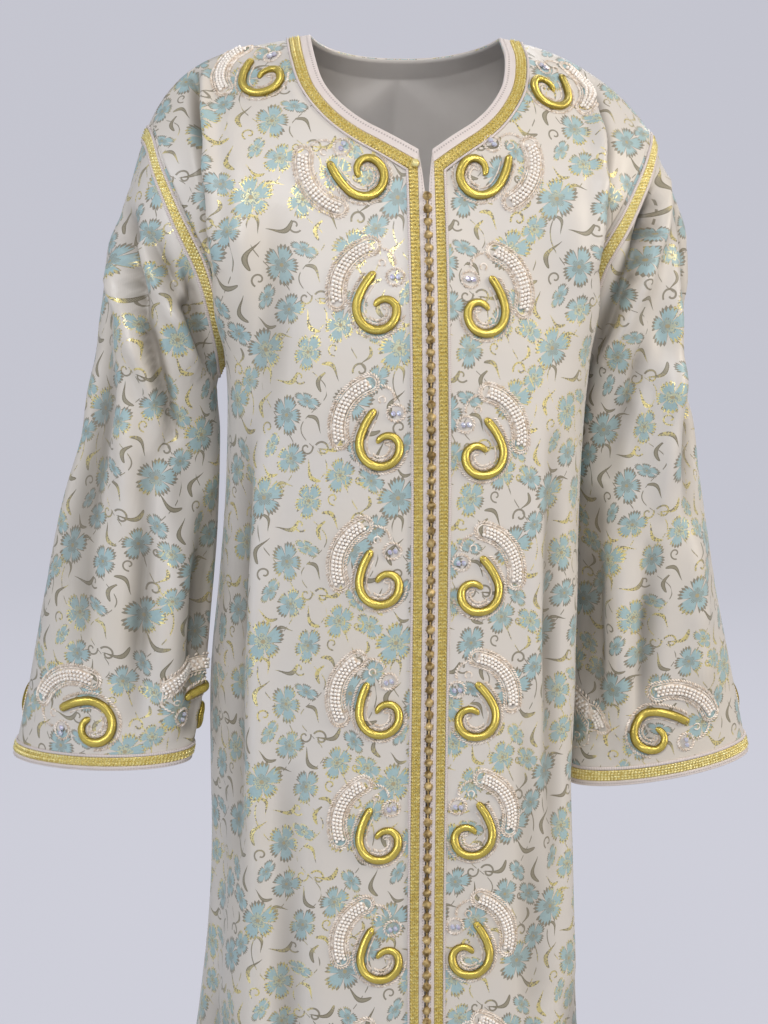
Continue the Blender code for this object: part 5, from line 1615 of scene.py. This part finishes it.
def use(dye, tree, *values):
    """Places a group in a material and fills its inputs."""
    node = dye.nodes.new("ShaderNodeGroup")
    node.node_tree = tree
    for socket, value in zip(node.inputs, values):
        dye.put(socket, value)
    return node.outputs


NUMBER, VECTOR = "NodeSocketFloat", "NodeSocketVector"


def nearest_figure(table):
    """Fills a group: of a table's figures, the place seen from the nearest one, turned its way and
    measured in its own size. Each stands once in every repeat."""

    def fill(dye, place):
        best, local, facts = None, None, None
        half = (0.5 * REPEAT[0], 0.5 * REPEAT[1], 500.0)
        for x, y, turn, size, narrow in table:
            centre = (float(x), float(y), 0.0)
            high = tuple(c + h for c, h in zip(centre, half))
            low = tuple(c - h for c, h in zip(centre, half))
            offset = dye.vector("SUBTRACT", dye.vector("WRAP", place, high, low), centre)
            away = dye.times(dye.vector("LENGTH", offset), 1.0 / size)
            fact = (math.radians(turn), 1.0 / size, narrow)
            if best is None:
                best, local, facts = away, offset, fact
            else:
                closer = dye.below(away, best)
                local = dye.choose(closer, local, offset)
                facts = dye.choose(closer, facts, fact)
                best = dye.smaller(away, best)
        turn, size, narrow = dye.apart(facts)
        spun = dye.add("VectorRotate", rotation_type="Z_AXIS")
        spun = dye.filled(spun, Vector=local, Angle=dye.times(turn, -1.0))
        scaled = dye.filled(dye.add("VectorMath", spun, operation="SCALE"), Scale=size)
        return (dye.vector("MULTIPLY", scaled, dye.together(1.0, narrow, 1.0)),)

    return fill


def flower_shape(dye, place):
    """Masks of a flower one unit in radius: five fan petals with deep gaps between them and spiky
    rims, their dark spikes and outlines, and a star of short rays."""
    x, y, _ = dye.apart(place)
    r = dye.vector("LENGTH", place)
    angle = dye.maths("ARCTAN2", y, x)
    lobe = dye.absolute(dye.maths("COSINE", dye.times(angle, 2.5)))
    fan = dye.times(dye.minus(lobe, 0.05), 3.2, clamp=True)
    edge = dye.linear(fan, 0.52, dye.linear(lobe, 0.12, 0.26))
    sway = dye.sine(dye.linear(angle, 2.0, 0.7))
    edge = dye.times(edge, dye.linear(sway, 0.13, 0.98))
    tooth = dye.zigzag(dye.times(angle, 31.0 / (2 * math.pi)), 0.5)
    tooth = dye.times(tooth, 2.0)
    inner = dye.linear(tooth, -0.21, dye.plus(edge, 0.02))
    petal = dye.below(r, inner)
    outer = dye.linear(tooth, 0.15, dye.plus(edge, 0.0))
    dark = dye.times(dye.minus(1.0, petal), dye.below(r, outer))
    ray = dye.times(dye.above(tooth, 0.50),
                       dye.below(r, dye.linear(lobe, 0.20, 0.22)))
    ray = dye.times(ray, dye.above(r, 0.10))
    dark = dye.larger(dark, dye.times(ray, 0.9))
    heart = dye.below(r, 0.10)
    return petal, dark, heart


def leaf_shape(dye, place):
    """Masks of a leaf one unit long: an S-shaped blade, thick low down and tapering, and its hatching."""
    x, y, _ = dye.apart(place)
    t = dye.plus(x, 0.5)
    bend = dye.times(dye.sine(dye.times(t, 4.1)), 0.20)
    side = dye.minus(y, bend)
    t_in = dye.plus(t, 0.0, clamp=True)
    width = dye.times(dye.maths("POWER", t_in, 0.42),
                         dye.maths("POWER", dye.minus(1.0, t_in), 1.15))
    away = dye.absolute(side)
    blade = dye.below(away, dye.linear(width, 0.215, 0.006))
    blade = dye.times(blade, dye.below(dye.absolute(x), 0.5))
    core = dye.below(away, dye.linear(width, 0.215, -0.030))
    hatch = dye.zigzag(dye.linear(y, 16.0, dye.times(x, 24.0)), 0.5)
    light = dye.times(core, dye.above(hatch, 0.22))
    return blade, light


def curl_shape(dye, place):
    """Mask of a thin curl one unit in radius: a spiral line with its tail."""
    x, y, _ = dye.apart(place)
    r = dye.vector("LENGTH", place)
    angle = dye.maths("ARCTAN2", y, x)
    path = dye.linear(angle, 0.13, 0.62)
    line = dye.below(dye.absolute(dye.minus(r, path)), 0.13)
    return (line,)


def vine_shape(dye, place):
    """Mask of thin stems that wave up the cloth, thicker and thinner, once or twice in a repeat."""
    x, y, _ = dye.apart(place)
    best = None
    for across, swing, phase, times in VINES:
        sway = dye.sine(dye.linear(y, 2 * math.pi * times / REPEAT[1], phase))
        offset = dye.minus(dye.minus(x, across), dye.times(sway, swing))
        offset = dye.absolute(dye.maths("WRAP", offset, 0.5 * REPEAT[0], -0.5 * REPEAT[0]))
        line = dye.below(offset, 0.55)
        best = line if best is None else dye.larger(best, line)
    gaps = dye.above(dye.sine(dye.linear(y, 0.157, x)), -0.35)
    return (dye.times(best, gaps),)


def weave_height(dye, place, fineness, slant):
    """Height of crossing threads: one wave along the cloth, one across it, slanted as a twill."""
    u, v, _ = dye.apart(place)
    turns = dye.times(fineness, 2 * math.pi)
    along = dye.sine(dye.times(dye.linear(u, slant, v), turns))
    back = dye.times(slant, -1.0)
    over = dye.sine(dye.times(dye.linear(v, back, u), turns))
    return (dye.linear(dye.times(along, over), 0.25, 0.5),)


def thread_glints(dye, place, fineness, share):
    """Mask of the specks of metal thread that are given a painted highlight colour: the peaks of a fine
    noise.
    """
    specks = dye.noise(place, fineness, 1.0, 0.6)
    return (dye.above(specks, dye.minus(1.0, share)),)


def make_groups():
    """Every effect that the finishes share, by name."""
    found = [("Place", VECTOR)]
    rows = (
        ("flowers", "nearest flower", [], found, nearest_figure(FLOWERS)),
        ("leaves", "nearest leaf", [], found, nearest_figure(LEAVES)),
        ("curls", "nearest curl", [], found, nearest_figure(CURLS)),
        ("flower", "toothed flower", [],
         [("Petal", NUMBER), ("Dark", NUMBER), ("Heart", NUMBER)], flower_shape),
        ("leaf", "hatched leaf", [], [("Blade", NUMBER), ("Hatching", NUMBER)], leaf_shape),
        ("curl", "thin curl", [], [("Line", NUMBER)], curl_shape),
        ("vine", "waving stems", [], [("Line", NUMBER)], vine_shape),
        ("weave", "weave", [("Fineness", NUMBER, 1000.0), ("Slant", NUMBER, 0.3)],
         [("Height", NUMBER)], weave_height),
        ("glints", "thread glints", [("Fineness", NUMBER, 900.0), ("Share", NUMBER, 0.4)],
         [("Mask", NUMBER)], thread_glints),
    )
    return {key: shade_group(label, [("Place", VECTOR, None), *more], given, fill)
            for key, label, more, given, fill in rows}


def finish(name, fill, **constants):
    """A material: its function returns values for the shader's varying sockets."""
    material = bpy.data.materials.new(name)
    material.use_nodes = True
    dye = Dye(material.node_tree)
    shader = dye.nodes["Principled BSDF"]
    for label, value in fill(dye).items():
        dye.put(shader.inputs[label], value)
    for label, value in constants.items():
        dye.put(shader.inputs[label.replace("_", " ").title().replace("Ior", "IOR")], value)
    return material


def cloth_place(dye, scale=1.0):
    """The place on the cloth in metres, or in other units by a scale."""
    place = dye.add("UVMap", uv_map="cloth").outputs[0]
    if scale == 1.0:
        return place
    node = dye.add("Mapping", place)
    node.inputs["Scale"].default_value = (scale, scale, scale)
    return node.outputs[0]


def object_place(dye):
    return dye.add("TexCoord").outputs["Object"]


def brocade(groups):
    """Ivory satin with woven aqua flowers, taupe leaves and stems, metal thread specks painted bright gold as
    highlights, and painted shade in the creases.
    """

    def fill(dye):
        place = cloth_place(dye, 1000.0)
        solid = object_place(dye)
        petal, dark, heart = use(dye, groups["flower"], use(dye, groups["flowers"], place)[0])
        blade, light = use(dye, groups["leaf"], use(dye, groups["leaves"], place)[0])
        curl = use(dye, groups["curl"], use(dye, groups["curls"], place)[0])[0]
        vine = use(dye, groups["vine"], place)[0]
        broad = dye.noise(solid, 9.0, 2.0)
        ground = dye.mix(broad, IVORY_WARM, IVORY)
        thin = dye.larger(curl, vine)
        colour = dye.mix(dye.times(thin, 0.85), ground, TAUPE)
        leafy = dye.mix(light, TAUPE, TAUPE_LIGHT)
        colour = dye.mix(blade, colour, leafy)
        threads = dye.noise(solid, 420.0, 1.0)
        aqua = dye.mix(threads, AQUA, AQUA_PALE)
        colour = dye.mix(petal, colour, aqua)
        colour = dye.mix(dye.times(dark, 0.85), colour, TAUPE)
        colour = dye.mix(heart, colour, HEART)
        # Painted highlight: specks of metal thread in the marks, in patches, take the bright GLINT colour,
        # partly the threads' own gold; they are also smoother and partly metallic
        glints = use(dye, groups["glints"], solid, 620.0, 0.54)[0]
        where = dye.noise(solid, 17.0, 2.0)
        where = dye.times(dye.minus(where, 0.47), 12.0, clamp=True)
        marks = dye.larger(dark, dye.larger(blade, thin))
        near = dye.times(dye.times(marks, glints), where)
        colour = dye.mix(near, colour, GLINT)
        # Painted shade: the colour darkens towards FOLD_SHADE where the cloth lies deep in a crease trough
        deep = dye.add("Attribute", attribute_name="fold").outputs["Fac"]
        deep = dye.times(dye.maths("POWER", deep, 0.8), 0.62)
        colour = dye.mix(deep, colour, FOLD_SHADE)
        rough = dye.linear(petal, 0.06, 0.40)
        height = use(dye, groups["weave"], cloth_place(dye), 900.0, 0.35)[0]
        soft = dye.noise(solid, 60.0, 2.0)
        height = dye.linear(soft, 3.0, height)
        return {
            "Base Color": colour,
            "Roughness": dye.linear(near, -0.12, rough),
            "Metallic": dye.times(near, 0.45),
            "Normal": dye.bump(height, 0.35, 0.0003),
        }

    return finish("ivory brocade", fill, sheen_weight=0.25, sheen_roughness=0.35, specular_ior_level=0.55)


def plain_cloth(groups, name, colour, other, fineness, roughness):
    """Plain woven cloth or cord: slight unevenness of colour and crossing threads."""

    def fill(dye):
        place = cloth_place(dye)
        mixed = dye.mix(dye.noise(object_place(dye), 70.0, 3.0), colour, other)
        height = use(dye, groups["weave"], place, fineness, 0.5)[0]
        return {"Base Color": mixed, "Roughness": roughness, "Normal": dye.bump(height, 0.5, 0.0003)}

    return finish(name, fill, sheen_weight=0.3, sheen_roughness=0.4)


def edging():
    """Pale woven edging: fine ribs, and a row of tiny holes near each edge, coloured dark as painted shade in
    them.
    """

    def fill(dye):
        place = cloth_place(dye)
        u, v, _ = dye.apart(place)
        step = dye.zigzag(dye.over(v, EDGING_HOLE_PITCH), 0.5)
        ribs = dye.sine(dye.times(v, 2 * math.pi / EDGING_RIB))
        line = dye.absolute(dye.minus(u, EDGING_HOLE_LINE))
        hole = dye.times(dye.above(step, 0.27), dye.below(line, EDGING_HOLE_HALF))
        tone = dye.mix(dye.noise(object_place(dye), 90.0, 3.0), EDGING_PINK, EDGING_PALE)
        # Painted shade: the holes are coloured dark
        tone = dye.mix(dye.times(hole, 0.62), tone, EDGING_HOLE)
        height = dye.minus(dye.times(ribs, 0.3), dye.times(hole, 1.5))
        return {"Base Color": tone, "Roughness": 0.62, "Normal": dye.bump(height, 0.7, 0.0004)}

    return finish("pale edging", fill, sheen_weight=0.3, sheen_roughness=0.4)


def twisted(name, colour, other, pitch, roughness):
    """Pale twisted cord: slanting grooves round it, coloured darker in them as painted shade."""

    def fill(dye):
        u, v, _ = dye.apart(cloth_place(dye))
        groove = dye.zigzag(dye.plus(dye.over(v, pitch), u), 0.5)
        # Painted shade: the colour darkens in the grooves
        mixed = dye.mix(dye.times(groove, 2.0), other, colour)
        return {"Base Color": mixed, "Roughness": roughness, "Normal": dye.bump(groove, 0.8, 0.0006)}

    return finish(name, fill, sheen_weight=0.3, sheen_roughness=0.4)


def gold_thread(name, winding, dark, bright, roughness, scale):
    """Metal thread: a padded cord wound in rings, with a painted highlight on its crown and painted shade on
    its flanks and between its turns; a braid's bright grains over a base darkened as painted shade, whose
    flat lengths run the other way."""

    def fill(dye):
        solid = object_place(dye)
        # Patches of two tones; on the braid the small bright flecks are partly the metal's own unevenness and
        # partly painted highlights
        tone = dye.noise(solid, scale, 2.0, 0.6)
        tone = dye.times(dye.minus(tone, 0.3), 2.6, clamp=True)
        if winding:
            u, v, _ = dye.apart(cloth_place(dye))
            turn = dye.sine(dye.times(dye.linear(u, 0.5, dye.over(v, winding)), 2 * math.pi))
            # Painted highlight along the top of the cord, painted shade on its flanks and underside
            crown = dye.sine(dye.times(u, 2 * math.pi))
            crown = dye.linear(crown, 1.9, -0.70, clamp=True)
            tone = dye.linear(tone, 0.30, dye.linear(crown, 0.75, 0.05))
            # The turns of thread lighten and darken the colour too: painted light and shade on the winding
            tone = dye.linear(turn, 0.20, tone, clamp=True)
            height = turn
        else:
            # Painted shade: the braid's base strip between the grains is darkened
            base = dye.above(dye.apart(cloth_place(dye))[0], 1.0)
            tone = dye.times(tone, dye.linear(base, -0.80, 1.0))
            height = dye.noise(solid, 1900.0, 1.0)
        return {
            "Base Color": dye.mix(tone, dark, bright),
            "Roughness": dye.linear(tone, -0.10, roughness),
            "Metallic": 0.70 if winding else 0.25,
            "Normal": dye.bump(height, 0.45, 0.0003),
        }

    return finish(name, fill)


def backdrop_finish():
    """Smooth pale floor and wall, very slightly mottled."""

    def fill(dye):
        tone = dye.noise(object_place(dye), 0.6, 2.0)
        return {"Base Color": WALL_SHADE, "Roughness": 0.9,
                "Emission Color": dye.mix(tone, WALL, WALL_OTHER)}

    return finish("pale backdrop", fill, emission_strength=WALL_GLOW, specular_ior_level=0.1)


def backdrop():
    """Floor and wall in one: a profile turned round the middle, flat, then curving up."""
    bend = np.linspace(0.0, 0.5 * math.pi, 24)
    radius = join([np.linspace(0.02, FLOOR_RADIUS, 24), FLOOR_RADIUS + WALL_BEND * np.sin(bend[1:]),
                             [FLOOR_RADIUS + WALL_BEND] * len(WALL_RISES)])
    rise = join([np.zeros(24), WALL_BEND * (1 - np.cos(bend[1:])),
                           WALL_BEND + np.array(WALL_RISES)])
    angle = np.linspace(0, 2 * math.pi, 97)[:-1]
    placed = np.stack(np.broadcast_arrays(
        radius[:, None] * np.cos(angle), radius[:, None] * np.sin(angle), FLOOR + rise[:, None]), -1)
    mesh = bpy.data.meshes.new("backdrop")
    faces = cells(len(radius), len(angle), False, True).tolist() + [list(range(len(angle)))]
    mesh.from_pydata(placed.reshape(-1, 3).tolist(), [], faces)
    mesh.shade_smooth()
    mesh.materials.append(backdrop_finish())
    stage = bpy.data.objects.new("backdrop", mesh)
    bpy.context.scene.collection.objects.link(stage)
    stage.visible_diffuse = stage.visible_glossy = stage.visible_shadow = False


def lamp(name, place, aim, size, power, colour):
    """A soft square lamp turned to a point."""
    light = bpy.data.lights.new(name, "AREA")
    light.shape, light.size, light.energy, light.color = "SQUARE", size, power, colour
    stand = bpy.data.objects.new(name, light)
    stand.location = place
    stand.rotation_euler = (Vector(aim) - Vector(place)).to_track_quat("-Z", "Y").to_euler()
    bpy.context.scene.collection.objects.link(stand)


def studio():
    """Pale surroundings, soft lamps and the camera."""
    world = bpy.data.worlds.new("studio")
    world.use_nodes = True
    world.node_tree.nodes["Background"].inputs[0].default_value = (*WORLD, 1.0)
    world.node_tree.nodes["Background"].inputs[1].default_value = WORLD_STRENGTH
    bpy.context.scene.world = world
    for row in LAMPS:
        lamp(*row)
    camera = bpy.data.cameras.new("camera")
    camera.lens, camera.sensor_width = CAMERA_LENS, SENSOR
    camera.clip_end = CLIP_END
    view = bpy.data.objects.new("camera", camera)
    view.location = CAMERA_PLACE
    view.rotation_euler = [math.radians(angle) for angle in CAMERA_TURN]
    bpy.context.scene.collection.objects.link(view)
    bpy.context.scene.camera = view
    bpy.context.scene.view_settings.view_transform = "Standard"
    backdrop()


def flat_size(cloths):
    """A panel's cut: width and length of its flat chart and its area of cloth."""
    flat = join([cloth.flat.reshape(-1, 2) for cloth in cloths])
    size = flat.max(axis=0) - flat.min(axis=0)
    area = 0.0
    for cloth in cloths:
        p = cloth.points
        one = np.cross(p[1:, 1:] - p[:-1, :-1], p[1:, :-1] - p[:-1, 1:])
        area += 0.5 * norm(one, axis=-1).sum()
    return size, min(area, 0.999 * size[0] * size[1])


def dress():
    """Every piece of the kaftan."""
    groups = make_groups()
    brocade_sheet = [brocade(groups), plain_cloth(groups, "lining", LINING, LINING_OTHER, 1100.0, 0.55)]
    finishes = {
        "edging": edging(),
        "gold_braid": gold_thread("gold braid", 0.0, GOLD_DARK, GOLD_BRIGHT, 0.36, 420.0),
        "piping": twisted("pale cord", CORD_PALE, CORD_SHADE, 0.0016, 0.55),
    }
    scroll_gold = gold_thread("gold scroll thread", 0.0012, SCROLL_DARK, SCROLL_BRIGHT, 0.34, 45.0)
    fronts = {side: front_cloth(side) for side in (1, -1)}
    halves = {side: back_cloth(side) for side in (1, -1)}
    sleeves = {side: sleeve_cloth(side, front_panel(side), back_half(side)[0]) for side in (1, -1)}
    parts = motif_parts()
    sheets = []
    for side in (1, -1):
        name, front, arm = side_name(side), fronts[side], sleeves[side]
        places, shares = scroll_places(side), CUFF_SCROLL_SHARES[side]
        panels = (
            (f"front_{name}", front, column_trims(side, front, halves[side][1]), f"front_{name}",
             [body_ground(side, front, *place[1:]) for place in places], 1.0,
             [f"scroll_{place[0]}_{name}" for place in places]),
            (f"sleeve_{name}", arm, sleeve_trims(side, arm), f"cuff_{name}",
             [cuff_ground(arm, share, CUFF_SCROLL_RISE[side], CUFF_SCROLL_TURN[side]) for share in shares],
             CUFF_SCROLL_SIZE, [f"scroll_cuff_{k + 1}_{name}" for k in range(len(shares))]),
        )
        for node, cloth, trims, sewn_name, grounds, size, scrolls in panels:
            worn_with = [gathered.piece(label, finishes[look], slot, nodes)
                         for gathered, label, look, slot, nodes in trims]
            panel = sheet_piece(f"{node}_cloth", [cloth], brocade_sheet, [node])
            worn_with += sewn_pieces(sewn_name, grounds, size, parts, scrolls, scroll_gold)
            sheets.append((panel, [cloth], worn_with))
    cloths = [halves[1][0], halves[1][1], halves[-1][0], halves[-1][1]]
    sheets.append((sheet_piece("back_cloth", cloths, brocade_sheet, ["back"]), cloths, []))
    for panel, cloths, worn_with in sheets:
        size, area = flat_size(cloths)
    button_column().piece("knotted_buttons", two_toned("button thread"), "button_thread", ["buttons"])
    corner_knot(fronts[-1]).piece("neck_corner_knot", finishes["gold_braid"], "gold_braid")


def sewn_pieces(name, grounds, size, parts, nodes, scroll_gold):
    """The motifs of one panel as joined pieces: scrolls, their knots, stitching, pearls and crystals."""
    sewn = {label: Gathered() for label in ("scrolls", "knots", "stitching", "pearls", "crystals")}
    for ground in grounds:
        sew_motif(ground, size, parts, sewn)
    looks = {
        "scrolls": (scroll_gold, "gold_scroll", nodes, 60.0),
        "knots": (two_toned("button thread"), "button_thread", (), 60.0),
        "stitching": (two_toned("embroidery thread"), "pale_trim", (), 50.0),
        "pearls": (two_toned("pearls"), "pale_trim", (), 80.0),
        "crystals": (two_toned("crystal"), "pale_trim", (), 20.0),
    }
    return [sewn[label].piece(f"{name}_{label}", look, slot, nodes_, smooth_to=sharp)
            for label, (look, slot, nodes_, sharp) in looks.items()]


def two_toned(name):
    """A small part's finish: two tones blended by a soft noise, stretched where its row says so, and
    a fine grain in the normals. Made once for all pieces that use it."""
    tones, patches, spread, grain, varying, constants = TWO_TONED[name]

    def fill(dye):
        solid = object_place(dye)
        tone = dye.noise(solid, *patches)
        if spread:
            tone = dye.times(dye.minus(tone, spread[0]), spread[1], clamp=True)
        values = {"Base Color": dye.mix(tone, *tones), **varying}
        if grain:
            values["Normal"] = dye.bump(dye.noise(solid, grain[0], 1.0), *grain[1:])
        return values

    return bpy.data.materials.get(name) or finish(name, fill, **constants)


# A stitch or grain: a flat six-sided body with a peak above and a lower one below
STITCH = (np.array([[1.0, 0, 0], [0.5, 0.87, 0], [-0.5, 0.87, 0], [-1.0, 0, 0], [-0.5, -0.87, 0],
                    [0.5, -0.87, 0], [0, 0, 1.0], [0, 0, -0.6]]),
          [np.array([[k, (k + 1) % 6, 6] for k in range(6)] + [[(k + 1) % 6, k, 7] for k in range(6)])])
PEARL_SHAPE = ball(7, 4)

studio()
dress()
